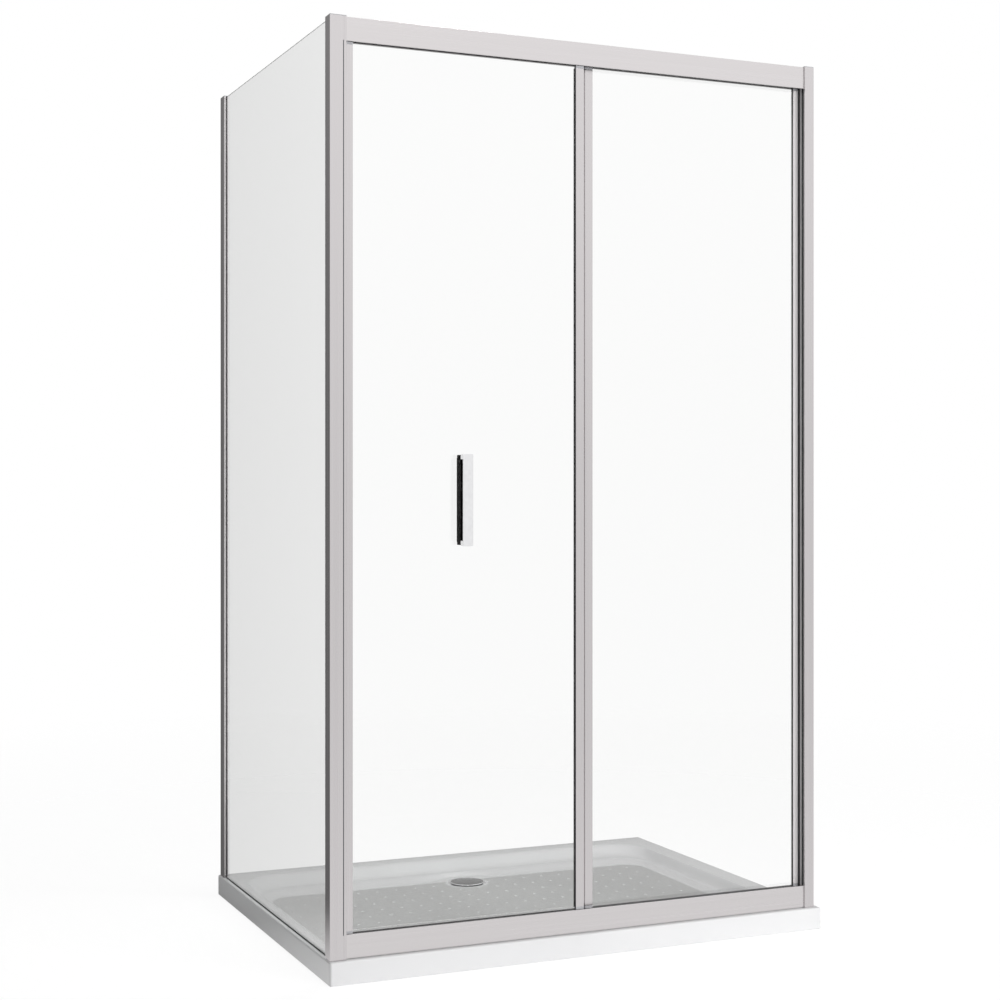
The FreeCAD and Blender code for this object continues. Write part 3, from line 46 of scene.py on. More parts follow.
# The tray, in millimetres from its outer faces and from the floor.
TRAY_HALF_LENGTH = 611.5
TRAY_HALF_DEPTH = 463.0
TRAY_HEIGHT = 50.0
RIM_INSETS = (48.0, 57.0, 66.0, 56.0)
BANK_RUNS = (17.0, 23.0, 20.0, 65.0)
SLOPE_RUNS = (17.0, 30.0, 22.0, 67.0)
BANK_LEVEL = 28.0
FLOOR_LEVEL = 20.0
DISH_LEVEL = 18.0
UNDERSIDE_LEVEL = 14.0
SKIRT = 6.0
SKIRT_RADIUS = 4.5
OUTER_RADIUS = 5.0
OUTER_EDGE = 4.0
INNER_LIP = 6.0
RIM_RADIUS = 103.0
BANK_RADIUS = 88.0
FLOOR_RADIUS = 55.0
DRAIN_BULGE = 44.0
DRAIN_BULGE_WIDTH = 78.0
DRAIN = (-8.0, 244.0)
DRAIN_HOLE_RADIUS = 31.0
DISH_RADIUS = 47.0
# The dull slip-resistant part of the floor ends over this stretch of Y, in metres.
MATT_FLOOR_END = (0.271, 0.276)
# Studs on the floor, in rows from the row nearest the drain.
STUD_ACROSS = 51.0
STUD_BACK = 59.5
STUD_RADIUS = 4.2
STUD_RISE = 0.8
STUD_FIRST = (-1.0, 240.0)
STUD_MARGIN = 14.0
STUD_CORNER = 34.0
COVER_FOOT_CIRCLE = 38.0
COVER_RIM_WIDTH = 1.2
# The X, in metres, where the left jamb's narrow tongue meets its face; the painted shade on the
# tongue starts here.
JAMB_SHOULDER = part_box("jamb_left")[1].x - 0.0059
SEAL_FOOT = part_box("door_drip_seal")[0].z
# Heights of the painted shadow band along the door seal's foot.
PAINTED_SHADOW_LOW = SEAL_FOOT + 0.0014
PAINTED_SHADOW_HIGH = SEAL_FOOT + 0.0018


# ---- mesh building --------------------------------------------------------------------------

def finished_mesh(name, build, soft_angle=35.0):
    """Makes a piece from a bmesh and shades it smooth up to the angle."""
    mesh = bpy.data.meshes.new(name)
    build.normal_update()
    build.to_mesh(mesh)
    build.free()
    for face in mesh.polygons:
        face.use_smooth = True
    mesh.set_sharp_from_angle(angle=math.radians(soft_angle))
    piece = bpy.data.objects.new(name, mesh)
    bpy.context.scene.collection.objects.link(piece)
    return piece


def add_ring(build, points):
    return [build.verts.new(Vector(point) * MM) for point in points]


def bridge_rings(build, first, second, slot=0):
    count = len(first)
    for index in range(count):
        after = (index + 1) % count
        face = build.faces.new((first[index], first[after], second[after], second[index]))
        face.material_index = slot


def ring_edges(build, ring):
    count = len(ring)
    return [build.edges.get((ring[index], ring[(index + 1) % count]))
            or build.edges.new((ring[index], ring[(index + 1) % count]))
            for index in range(count)]


def fill_between(build, outer, inner, slot=0):
    edges = ring_edges(build, outer) + ring_edges(build, inner)
    made = bmesh.ops.triangle_fill(build, use_beauty=True, edges=edges)
    for item in made["geom"]:
        if isinstance(item, bmesh.types.BMFace):
            item.material_index = slot


def circle_points(centre, radius, level, count=96):
    points = []
    for index in range(count):
        angle = 2 * math.pi * index / count
        points.append((centre[0] + radius * math.cos(angle),
                       centre[1] + radius * math.sin(angle), level))
    return points


def lathe(name, profile, centre, axis="z", count=64, slot=0):
    """Turns a closed profile of (distance along, radius) points round an axis."""
    build = bmesh.new()
    rings = []
    for along, radius in profile:
        points = []
        for index in range(count):
            angle = 2 * math.pi * index / count
            across, up = radius * math.cos(angle), radius * math.sin(angle)
            if axis == "z":
                offset = (across, up, along)
            elif axis == "y":
                offset = (up, along, across)
            else:
                offset = (along, across, up)
            points.append(tuple(centre[part] + offset[part] for part in range(3)))
        rings.append(points)
    made = []
    for (along, radius), points in zip(profile, rings):
        if radius < 1e-6:
            made.append([build.verts.new(Vector(points[0]) * MM)])
        else:
            made.append(add_ring(build, points))
    for first, second in zip(made, made[1:] + made[:1]):
        if len(first) == 1 and len(second) == 1:
            continue
        if len(first) == 1 or len(second) == 1:
            tip, ring = (first[0], second) if len(first) == 1 else (second[0], first)
            for index in range(len(ring)):
                after = (index + 1) % len(ring)
                build.faces.new((tip, ring[index], ring[after]))
        else:
            bridge_rings(build, first, second, slot)
    bmesh.ops.recalc_face_normals(build, faces=build.faces)
    return finished_mesh(name, build)


# ---- shared shader groups -------------------------------------------------------------------

def new_group(name, inputs, outputs):
    group = bpy.data.node_groups.new(name, "ShaderNodeTree")
    for title, kind, value in inputs:
        socket = group.interface.new_socket(name=title, in_out="INPUT", socket_type=kind)
        socket.default_value = value
    for title, kind in outputs:
        group.interface.new_socket(name=title, in_out="OUTPUT", socket_type=kind)
    return group, group.nodes.new("NodeGroupInput"), group.nodes.new("NodeGroupOutput")


def make_drawn_lines_group():
    """Long fine lines, as extruding and brushing leave along a profile."""
    group, given, result = new_group(
        "drawn lines",
        [("Lines per metre", "NodeSocketVector", (900.0, 900.0, 3.0))],
        [("Shade", "NodeSocketFloat"), ("Height", "NodeSocketFloat")])
    place = group.nodes.new("ShaderNodeTexCoord")
    stretch = group.nodes.new("ShaderNodeVectorMath")
    stretch.operation = "MULTIPLY"
    fine = group.nodes.new("ShaderNodeTexNoise")
    fine.inputs["Scale"].default_value = 1.0
    fine.inputs["Detail"].default_value = 3.0
    broad = group.nodes.new("ShaderNodeTexNoise")
    broad.inputs["Scale"].default_value = 0.18
    broad.inputs["Detail"].default_value = 1.0
    both = group.nodes.new("ShaderNodeMath")
    both.operation = "MULTIPLY_ADD"
    both.inputs[1].default_value = 0.5
    half = group.nodes.new("ShaderNodeMath")
    half.operation = "MULTIPLY"
    half.inputs[1].default_value = 0.5
    link = group.links.new
    link(place.outputs["Object"], stretch.inputs[0])
    link(given.outputs["Lines per metre"], stretch.inputs[1])
    link(stretch.outputs[0], fine.inputs["Vector"])
    link(stretch.outputs[0], broad.inputs["Vector"])
    link(broad.outputs["Fac"], half.inputs[0])
    link(fine.outputs["Fac"], both.inputs[0])
    link(half.outputs[0], both.inputs[2])
    link(both.outputs[0], result.inputs["Shade"])
    link(fine.outputs["Fac"], result.inputs["Height"])
    return group


def make_fine_grain_group():
    """The even grain of a moulded or textured surface."""
    group, given, result = new_group(
        "fine grain",
        [("Grains per metre", "NodeSocketFloat", 900.0)],
        [("Shade", "NodeSocketFloat"), ("Height", "NodeSocketFloat")])
    place = group.nodes.new("ShaderNodeTexCoord")
    grain = group.nodes.new("ShaderNodeTexNoise")
    grain.inputs["Detail"].default_value = 4.0
    grain.inputs["Roughness"].default_value = 0.6
    cells = group.nodes.new("ShaderNodeTexVoronoi")
    cells.feature = "SMOOTH_F1"
    link = group.links.new
    link(place.outputs["Object"], grain.inputs["Vector"])
    link(place.outputs["Object"], cells.inputs["Vector"])
    link(given.outputs["Grains per metre"], grain.inputs["Scale"])
    link(given.outputs["Grains per metre"], cells.inputs["Scale"])
    link(grain.outputs["Fac"], result.inputs["Shade"])
    link(cells.outputs["Distance"], result.inputs["Height"])
    return group


def make_handled_patches_group():
    """Large soft patches where a surface is a little duller from water and wiping."""
    group, given, result = new_group(
        "handled patches",
        [("Patches per metre", "NodeSocketFloat", 4.0), ("Low", "NodeSocketFloat", 0.1),
         ("High", "NodeSocketFloat", 0.2)],
        [("Value", "NodeSocketFloat")])
    place = group.nodes.new("ShaderNodeTexCoord")
    patches = group.nodes.new("ShaderNodeTexNoise")
    patches.inputs["Detail"].default_value = 5.0
    patches.inputs["Roughness"].default_value = 0.55
    spread = group.nodes.new("ShaderNodeMapRange")
    spread.inputs["From Min"].default_value = 0.3
    spread.inputs["From Max"].default_value = 0.7
    link = group.links.new
    link(place.outputs["Object"], patches.inputs["Vector"])
    link(given.outputs["Patches per metre"], patches.inputs["Scale"])
    link(patches.outputs["Fac"], spread.inputs["Value"])
    link(given.outputs["Low"], spread.inputs["To Min"])
    link(given.outputs["High"], spread.inputs["To Max"])
    link(spread.outputs["Result"], result.inputs["Value"])
    return group


drawn_lines = make_drawn_lines_group()
fine_grain = make_fine_grain_group()
handled_patches = make_handled_patches_group()


# ---- finishes -------------------------------------------------------------------------------

def new_finish(name):
    finish = bpy.data.materials.new(name)
    finish.use_nodes = True
    tree = finish.node_tree
    tree.nodes.clear()
    surface = tree.nodes.new("ShaderNodeBsdfPrincipled")
    output = tree.nodes.new("ShaderNodeOutputMaterial")
    tree.links.new(surface.outputs["BSDF"], output.inputs["Surface"])
    return finish, tree, surface


def output_of(tree):
    return next(node for node in tree.nodes if node.type == "OUTPUT_MATERIAL")


def add_group(tree, group, **values):
    node = tree.nodes.new("ShaderNodeGroup")
    node.node_tree = group
    for title, value in values.items():
        node.inputs[title.replace("_", " ").capitalize()].default_value = value
    return node


def set_plain(surface, **values):
    for title, value in values.items():
        surface.inputs[title.replace("_", " ").title()].default_value = value


def shade_between(tree, surface, mask, dark, light):
    """Base Color runs from the dark to the light tone with the mask."""
    mix = tree.nodes.new("ShaderNodeMix")
    mix.data_type = "RGBA"
    mix.inputs["A"].default_value = (*dark, 1.0)
    mix.inputs["B"].default_value = (*light, 1.0)
    tree.links.new(mask, mix.inputs["Factor"])
    tree.links.new(mix.outputs["Result"], surface.inputs["Base Color"])
    return mix


def raise_relief(tree, surface, height, strength, distance):
    bump = tree.nodes.new("ShaderNodeBump")
    bump.inputs["Strength"].default_value = strength
    bump.inputs["Distance"].default_value = distance
    tree.links.new(height, bump.inputs["Height"])
    tree.links.new(bump.outputs["Normal"], surface.inputs["Normal"])


def map_range(tree, value, low, high):
    """A value from 0 to 1 mapped to run from low to high."""
    node = tree.nodes.new("ShaderNodeMapRange")
    node.inputs["To Min"].default_value = low
    node.inputs["To Max"].default_value = high
    tree.links.new(value, node.inputs["Value"])
    return node.outputs["Result"]


def make_metal(name, lines, dark, light, rough_low, rough_high, strength, metallic=1.0):
    """Metal with long drawn lines in its tone, gloss and surface."""
    finish, tree, surface = new_finish(name)
    set_plain(surface, metallic=metallic)
    drawn = add_group(tree, drawn_lines, lines_per_metre=lines)
    shade_between(tree, surface, drawn.outputs["Shade"], dark, light)
    tree.links.new(map_range(tree, drawn.outputs["Shade"], rough_low, rough_high),
                   surface.inputs["Roughness"])
    raise_relief(tree, surface, drawn.outputs["Height"], strength, 0.0002)
    return finish


def make_jamb_finish_with_painted_shade():
    """The upright metal finish, with painted shade on the tongue that slides in the post: its
    colour is darkened there to stand in for the shadow in the reveal between post and jamb.
    """
    finish = upright_aluminium.copy()
    finish.name = "satin_aluminium_jamb_shade_painted"
    tree = finish.node_tree
    surface = next(node for node in tree.nodes if node.type == "BSDF_PRINCIPLED")
    tone = next(node for node in tree.nodes if node.type == "MIX")
    place = tree.nodes.new("ShaderNodeTexCoord")
    parts = tree.nodes.new("ShaderNodeSeparateXYZ")
    tongue = tree.nodes.new("ShaderNodeMapRange")
    tongue.inputs["From Min"].default_value = JAMB_SHOULDER + 0.0001
    tongue.inputs["From Max"].default_value = JAMB_SHOULDER - 0.0001
    painted_shade_mix = tree.nodes.new("ShaderNodeMix")
    painted_shade_mix.data_type = "RGBA"
    # painted shade: this dark colour on the tongue stands in for the shadow in the reveal
    painted_shade_mix.inputs["B"].default_value = (0.20, 0.20, 0.215, 1.0)
    tree.links.new(place.outputs["Object"], parts.inputs[0])
    tree.links.new(parts.outputs["X"], tongue.inputs["Value"])
    tree.links.new(tongue.outputs["Result"], painted_shade_mix.inputs["Factor"])
    tree.links.new(tone.outputs["Result"], painted_shade_mix.inputs["A"])
    tree.links.new(painted_shade_mix.outputs["Result"], surface.inputs["Base Color"])
    return finish


def make_polished_chrome(name, dark, light):
    """Chrome plate that faint dried water dulls in patches."""
    finish, tree, surface = new_finish(name)
    set_plain(surface, metallic=1.0)
    dull = add_group(tree, handled_patches, patches_per_metre=35.0, low=0.03, high=0.10)
    tree.links.new(dull.outputs["Value"], surface.inputs["Roughness"])
    spots = add_group(tree, handled_patches, patches_per_metre=120.0, low=0.0, high=1.0)
    shade_between(tree, surface, spots.outputs["Value"], dark, light)
    return finish


def make_moulded(name, dark, light, rough, strength, grains=1400.0, shine=0.5):
    """Moulded plastic or rubber with a fine even grain."""
    finish, tree, surface = new_finish(name)
    surface.inputs["Specular IOR Level"].default_value = shine
    grain = add_group(tree, fine_grain, grains_per_metre=grains)
    shade_between(tree, surface, grain.outputs["Shade"], dark, light)
    tree.links.new(map_range(tree, grain.outputs["Shade"], rough - 0.06, rough + 0.06),
                   surface.inputs["Roughness"])
    raise_relief(tree, surface, grain.outputs["Height"], strength, 0.0001)
    return finish


def make_tray_gloss():
    finish, tree, surface = new_finish("tray_white")
    set_plain(surface, coat_weight=0.35)
    surface.inputs["Coat Roughness"].default_value = 0.04
    dull = add_group(tree, handled_patches, patches_per_metre=5.0, low=0.10, high=0.20)
    tree.links.new(dull.outputs["Value"], surface.inputs["Roughness"])
    tone = add_group(tree, handled_patches, patches_per_metre=3.0, low=0.0, high=1.0)
    shade_between(tree, surface, tone.outputs["Value"], (0.865, 0.865, 0.875), (0.90, 0.90, 0.905))
    return finish


def make_tray_floor():
    """The slip-resistant part of the tray's floor: duller, pitted and flecked with low ridges."""
    finish, tree, surface = new_finish("tray_floor_matt")
    grain = add_group(tree, fine_grain, grains_per_metre=650.0)
    flecks = add_group(tree, drawn_lines, lines_per_metre=(70.0, 330.0, 1.0))
    link = tree.links.new
    ridge = tree.nodes.new("ShaderNodeMapRange")
    ridge.inputs["From Min"].default_value = 0.60
    ridge.inputs["From Max"].default_value = 0.68
    link(flecks.outputs["Height"], ridge.inputs["Value"])
    tone = shade_between(tree, surface, grain.outputs["Shade"], (0.53, 0.53, 0.525),
                         (0.61, 0.61, 0.605))
    flecked = tree.nodes.new("ShaderNodeMix")
    flecked.data_type = "RGBA"
    flecked.inputs["B"].default_value = (0.80, 0.80, 0.795, 1.0)
    place = tree.nodes.new("ShaderNodeTexCoord")
    parts = tree.nodes.new("ShaderNodeSeparateXYZ")
    smooth = tree.nodes.new("ShaderNodeMapRange")
    smooth.inputs["From Min"].default_value = MATT_FLOOR_END[0]
    smooth.inputs["From Max"].default_value = MATT_FLOOR_END[1]
    edged = tree.nodes.new("ShaderNodeMix")
    edged.data_type = "RGBA"
    edged.inputs["B"].default_value = (0.87, 0.87, 0.875, 1.0)
    link(ridge.outputs["Result"], flecked.inputs["Factor"])
    link(tone.outputs["Result"], flecked.inputs["A"])
    link(place.outputs["Object"], parts.inputs[0])
    link(parts.outputs["Y"], smooth.inputs["Value"])
    link(smooth.outputs["Result"], edged.inputs["Factor"])
    link(flecked.outputs["Result"], edged.inputs["A"])
    link(edged.outputs["Result"], surface.inputs["Base Color"])
    link(map_range(tree, grain.outputs["Shade"], 0.30, 0.50), surface.inputs["Roughness"])
    raise_relief(tree, surface, grain.outputs["Height"], 0.25, 0.0004)
    return finish


def make_clear_glass(name, edge_way):
    """Toughened glass, clear through its faces and green along the edges that face edge_way."""
    finish, tree, surface = new_finish(name)
    set_plain(surface, transmission_weight=1.0, roughness=0.0, metallic=0.0)
    surface.inputs["IOR"].default_value = 1.5
    place = tree.nodes.new("ShaderNodeTexCoord")
    along = tree.nodes.new("ShaderNodeVectorMath")
    along.operation = "DOT_PRODUCT"
    along.inputs[1].default_value = edge_way
    size = tree.nodes.new("ShaderNodeMath")
    size.operation = "ABSOLUTE"
    edge = tree.nodes.new("ShaderNodeMapRange")
    edge.inputs["From Min"].default_value = 0.55
    edge.inputs["From Max"].default_value = 0.75
    link = tree.links.new
    link(place.outputs["Normal"], along.inputs[0])
    link(along.outputs["Value"], size.inputs[0])
    link(size.outputs[0], edge.inputs["Value"])
    shade_between(tree, surface, edge.outputs["Result"], (0.960, 0.962, 0.959), (0.07, 0.22, 0.21))
    clear = tree.nodes.new("ShaderNodeBsdfTransparent")
    clear.inputs["Color"].default_value = (0.91, 0.93, 0.92, 1.0)
    ray = tree.nodes.new("ShaderNodeLightPath")
    let_through = tree.nodes.new("ShaderNodeMixShader")
    link(ray.outputs["Is Shadow Ray"], let_through.inputs[0])
    link(surface.outputs["BSDF"], let_through.inputs[1])
    link(clear.outputs["BSDF"], let_through.inputs[2])
    link(let_through.outputs[0], output_of(tree).inputs["Surface"])
    return finish


def make_clear_vinyl():
    """The see-through plastic of a door seal, with a painted shadow along its foot: a dark band
    that stands in for the shaded gap between the seal and the sill's lip.
    """
    finish, tree, surface = new_finish("clear_vinyl")
    set_plain(surface, transmission_weight=1.0, metallic=0.0)
    surface.inputs["IOR"].default_value = 1.5
    haze = add_group(tree, handled_patches, patches_per_metre=90.0, low=0.02, high=0.07)
    tone = shade_between(tree, surface, haze.outputs["Value"], (0.93, 0.94, 0.935),
                         (0.97, 0.975, 0.97))
    place = tree.nodes.new("ShaderNodeTexCoord")
    parts = tree.nodes.new("ShaderNodeSeparateXYZ")
    lip = tree.nodes.new("ShaderNodeMapRange")
    lip.inputs["From Min"].default_value = PAINTED_SHADOW_HIGH
    lip.inputs["From Max"].default_value = PAINTED_SHADOW_LOW
    painted_shade_mix = tree.nodes.new("ShaderNodeMix")
    painted_shade_mix.data_type = "RGBA"
    # painted shadow: the dark colour of the band along the seal's foot
    painted_shade_mix.inputs["B"].default_value = (0.09, 0.09, 0.092, 1.0)
    link = tree.links.new
    link(haze.outputs["Value"], surface.inputs["Roughness"])
    link(place.outputs["Object"], parts.inputs[0])
    link(parts.outputs["Z"], lip.inputs["Value"])
    link(lip.outputs["Result"], painted_shade_mix.inputs["Factor"])
    link(tone.outputs["Result"], painted_shade_mix.inputs["A"])
    link(painted_shade_mix.outputs["Result"], surface.inputs["Base Color"])
    return finish


def make_pressed_board():
    finish, tree, surface = new_finish("base_board")
    place = tree.nodes.new("ShaderNodeTexCoord")
    chips = tree.nodes.new("ShaderNodeTexVoronoi")
    chips.inputs["Scale"].default_value = 160.0
    tree.links.new(place.outputs["Object"], chips.inputs["Vector"])
    grey = tree.nodes.new("ShaderNodeRGBToBW")
    tree.links.new(chips.outputs["Color"], grey.inputs["Color"])
    shade_between(tree, surface, grey.outputs["Val"], (0.42, 0.33, 0.22), (0.66, 0.56, 0.42))
    set_plain(surface, roughness=0.85)
    raise_relief(tree, surface, chips.outputs["Distance"], 0.4, 0.001)
    return finish


upright_aluminium = make_metal("satin_aluminium_upright", (900.0, 900.0, 2.5),
                               (0.565, 0.541, 0.548), (0.628, 0.603, 0.609), 0.20, 0.32, 0.08)
# painted light: the rails' copy of the aluminium is lighter than the uprights' to stand in for the
# brighter light the rails catch
rail_aluminium_painted_light = make_metal("satin_aluminium_level", (2.5, 900.0, 900.0),
                             (0.595, 0.571, 0.575), (0.672, 0.646, 0.650), 0.20, 0.32, 0.08)
# the jamb's copy of the upright metal, with painted shade on its tongue
jamb_metal_with_painted_shade = make_jamb_finish_with_painted_shade()
# painted light: a paler, less metallic copy of the aluminium for the recessed right jamb and wall
# stile, so they render bright where the plain metal would mirror the dark parts beside them
lit_copy_aluminium = make_metal("satin_aluminium_lit_copy", (900.0, 900.0, 2.5),
                                 (0.80, 0.775, 0.78), (0.87, 0.845, 0.85), 0.30, 0.42, 0.08, 0.25)
machined_steel = make_metal("machined_steel", (1500.0, 1500.0, 60.0),
                            (0.50, 0.50, 0.51), (0.66, 0.66, 0.67), 0.20, 0.36, 0.12)
polished_chrome = make_polished_chrome("polished_chrome", (0.82, 0.82, 0.83), (0.87, 0.87, 0.88))
# painted reflection: a dark copy of the chrome for the drain parts, standing in for the dark
# surroundings the cover mirrors
dark_reflection_chrome = make_polished_chrome("dark_reflection_chrome", (0.10, 0.10, 0.098), (0.125, 0.125, 0.122))
tray_gloss = make_tray_gloss()
tray_floor = make_tray_floor()
cap_grey = make_moulded("cap_grey", (0.44, 0.44, 0.46), (0.50, 0.50, 0.52), 0.45, 0.15)
black_rubber = make_moulded("black_rubber", (0.018, 0.018, 0.020), (0.032, 0.032, 0.034), 0.55, 0.2)
glazing_gasket = make_moulded("glazing_gasket", (0.09, 0.09, 0.092), (0.13, 0.13, 0.132), 0.55, 0.2)
pale_gasket = make_moulded("pale_gasket", (0.34, 0.34, 0.34), (0.42, 0.42, 0.42), 0.55, 0.2)
handle_black = make_moulded("handle_black", (0.003, 0.003, 0.0035), (0.006, 0.006, 0.0065), 0.45,
                            0.1, 2200.0, 0.03)
white_nylon = make_moulded("white_nylon", (0.72, 0.72, 0.70), (0.80, 0.80, 0.78), 0.42, 0.12)
waste_plastic = make_moulded("waste_plastic", (0.09, 0.09, 0.095), (0.13, 0.13, 0.135), 0.5, 0.2)
brush_pile = make_moulded("grey_brush", (0.045, 0.045, 0.048), (0.09, 0.09, 0.095), 0.85, 0.4,
                          3000.0)
clear_vinyl = make_clear_vinyl()
base_board = make_pressed_board()
front_glass = make_clear_glass("clear_glass_front", (1.0, 0.0, 0.0))
side_glass = make_clear_glass("clear_glass_side", (0.0, 1.0, 1.0))


def dress(piece, *finishes):
    """Puts the finishes in the piece's slots and keeps which face has which slot."""
    slots = piece.data.materials
    while len(slots) > len(finishes):
        slots.pop()
    for index, finish in enumerate(finishes):
        if index < len(slots):
            slots[index] = finish
        else:
            slots.append(finish)


NODE_FINISHES = (
    (upright_aluminium, (
        "corner_profile", "corner_fillers", "wall_profile_right", "wall_profile_side",
        "fixed_stile", "door_leading_stile", "door_trailing_stile")),
    (lit_copy_aluminium, ("jamb_right", "fixed_wall_stile")),
    (jamb_metal_with_painted_shade, ("jamb_left",)),
    (rail_aluminium_painted_light, ("top_rail", "bottom_rail")),
    (cap_grey, (
        "corner_cap", "wall_profile_caps", "fixed_stile_caps", "door_stile_caps",
        "guide_blocks")),
    (black_rubber, (
        "waste_gasket", "jamb_gaskets", "side_sill_seal", "interlock_seal",
        "side_glass_gaskets", "door_edge_gaskets",
        "track_buffers", "setting_blocks", "corner_foot", "strike_magnet", "door_magnet")),
    (glazing_gasket, ("fixed_glass_gaskets",)),
    (pale_gasket, ("sill_gasket",)),
    (clear_vinyl, ("door_drip_seal",)),
    (brush_pile, ("door_brush_seal",)),
    (machined_steel, (
        "waste_strainer", "rail_screws", "carriage_left", "carriage_right", "carriage_bolts",
        "carriage_nuts", "wheel_axles", "guide_pins", "handle_screws")),
    (polished_chrome, ("handle_grip",)),
    (dark_reflection_chrome, ("waste_flange", "drain_cap")),
    (white_nylon, (
        "wheel_left_outer", "wheel_left_inner", "wheel_right_inner", "wheel_right_outer",
        "guide_roller_left", "guide_roller_right", "glass_bushes")),
    (handle_black, ("handle_base", "handle_inner_plate")),
    (waste_plastic, ("waste_body",)),
    (base_board, ("tray_base_board",)),
    (tray_gloss, ("tray_shell",)),
    (front_glass, ("door_glass", "fixed_glass")),
    (side_glass, ("side_glass",)),
)
for finish, names in NODE_FINISHES:
    for name in names:
        dress(nodes[name], finish)


# ---- shower tray ----------------------------------------------------------------------------

def tray_ring(insets, radius, level, bulge=0.0):
    """A rounded rectangle inset from the tray's sides, pushed out behind the drain."""
    left = -TRAY_HALF_LENGTH + insets[0]
    right = TRAY_HALF_LENGTH - insets[1]
    front = -TRAY_HALF_DEPTH + insets[2]
    back = TRAY_HALF_DEPTH - insets[3]
    corners = (
        (right - radius, front + radius, -90.0), (right - radius, back - radius, 0.0),
        (left + radius, back - radius, 90.0), (left + radius, front + radius, 180.0))
    side_counts = (36, 64, 36, 64)
    points = []
    for index, (x, y, start) in enumerate(corners):
        for step in range(17):
            angle = math.radians(start + 90.0 * step / 16)
            points.append([x + radius * math.cos(angle), y + radius * math.sin(angle), level])
        x_next, y_next, start_next = corners[(index + 1) % 4]
        angle = math.radians(start_next)
        first = points[-1]
        last = (x_next + radius * math.cos(angle), y_next + radius * math.sin(angle))
        count = side_counts[index]
        for step in range(1, count):
            share = step / count
            points.append([first[0] + (last[0] - first[0]) * share,
                           first[1] + (last[1] - first[1]) * share, level])
    if bulge:
        for point in points:
            if point[1] > back - radius * 0.6:
                push = math.exp(-((point[0] - DRAIN[0]) / DRAIN_BULGE_WIDTH) ** 2)
                point[1] += bulge * push
    return points


def ease(share):
    return share * share * (3.0 - 2.0 * share)


def make_tray():
    build = bmesh.new()
    outer = (0.0, 0.0, 0.0, 0.0)
    skirt = (SKIRT, SKIRT, SKIRT, SKIRT)
    rings = [
        (tray_ring(skirt, SKIRT_RADIUS, UNDERSIDE_LEVEL), 0),
        (tray_ring(skirt, SKIRT_RADIUS, 0.8), 0),
        (tray_ring((SKIRT - 0.8,) * 4, SKIRT_RADIUS, 0.0), 0),
        (tray_ring((0.8,) * 4, 4.2, 0.0), 0),
        (tray_ring(outer, OUTER_RADIUS, 0.8), 0),
    ]
    for step in range(7):
        angle = math.radians(90.0 * step / 6)
        inset = OUTER_EDGE * (1.0 - math.cos(angle))
        level = TRAY_HEIGHT - OUTER_EDGE + OUTER_EDGE * math.sin(angle)
        rings.append((tray_ring((inset,) * 4, OUTER_RADIUS - inset * 0.8, level), 0))
    lip = INNER_LIP
    rings.append((tray_ring(tuple(part - lip - 2.0 for part in RIM_INSETS), RIM_RADIUS + 1.0,
                            TRAY_HEIGHT), 0))
    rings.append((tray_ring(tuple(part - lip for part in RIM_INSETS), RIM_RADIUS,
                            TRAY_HEIGHT), 0))
    steps = 16
    for step in range(1, steps + 1):
        share = step / steps
        run = tuple(rim - lip + (bank + lip) * share for rim, bank in zip(RIM_INSETS, BANK_RUNS))
        drop = (TRAY_HEIGHT - BANK_LEVEL) * ease(share ** 0.85)
        radius = RIM_RADIUS + (BANK_RADIUS - RIM_RADIUS) * share
        rings.append((tray_ring(run, radius, TRAY_HEIGHT - drop), 0))
    bank = tuple(rim + run for rim, run in zip(RIM_INSETS, BANK_RUNS))
    steps = 8
    for step in range(1, steps + 1):
        share = step / steps
        run = tuple(start + slope * share for start, slope in zip(bank, SLOPE_RUNS))
        level = BANK_LEVEL - (BANK_LEVEL - FLOOR_LEVEL) * (0.25 * share + 0.75 * ease(share))
        radius = BANK_RADIUS + (FLOOR_RADIUS - BANK_RADIUS) * share
        rings.append((tray_ring(run, radius, level, DRAIN_BULGE * share), 0))
    contour = tuple(start + slope for start, slope in zip(bank, SLOPE_RUNS))
    rings.append((tray_ring(tuple(part + 1.5 for part in contour), FLOOR_RADIUS - 1.5,
                            FLOOR_LEVEL, DRAIN_BULGE), 1))
    made = [(add_ring(build, points), slot) for points, slot in rings]
    for index, (ring, slot) in enumerate(made[1:]):
        bridge_rings(build, made[index][0], ring, slot)

    dish = [
        (DISH_RADIUS + 9.0, FLOOR_LEVEL), (DISH_RADIUS + 6.5, FLOOR_LEVEL + 0.35),
        (DISH_RADIUS + 2.0, FLOOR_LEVEL + 0.35), (DISH_RADIUS + 0.6, FLOOR_LEVEL + 0.1),
        (DISH_RADIUS - 0.6, FLOOR_LEVEL - 0.8), (DISH_RADIUS - 1.6, DISH_LEVEL + 0.4),
        (DISH_RADIUS - 3.0, DISH_LEVEL + 0.05), (DISH_RADIUS - 5.0, DISH_LEVEL),
        (DRAIN_HOLE_RADIUS + 0.5, DISH_LEVEL), (DRAIN_HOLE_RADIUS, DISH_LEVEL - 0.5),
        (DRAIN_HOLE_RADIUS, UNDERSIDE_LEVEL),
    ]
    dish_rings = [add_ring(build, circle_points(DRAIN, radius, level)) for radius, level in dish]
    fill_between(build, made[-1][0], dish_rings[0], 1)
    for first, second in zip(dish_rings, dish_rings[1:]):
        bridge_rings(build, first, second, 0)
    fill_between(build, made[0][0], dish_rings[-1], 0)
    bmesh.ops.recalc_face_normals(build, faces=build.faces)
    tray = finished_mesh("shower_tray", build, 40.0)
    dress(tray, tray_gloss, tray_floor)
    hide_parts("tray_shell")
    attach(tray, "frame")
    return tray


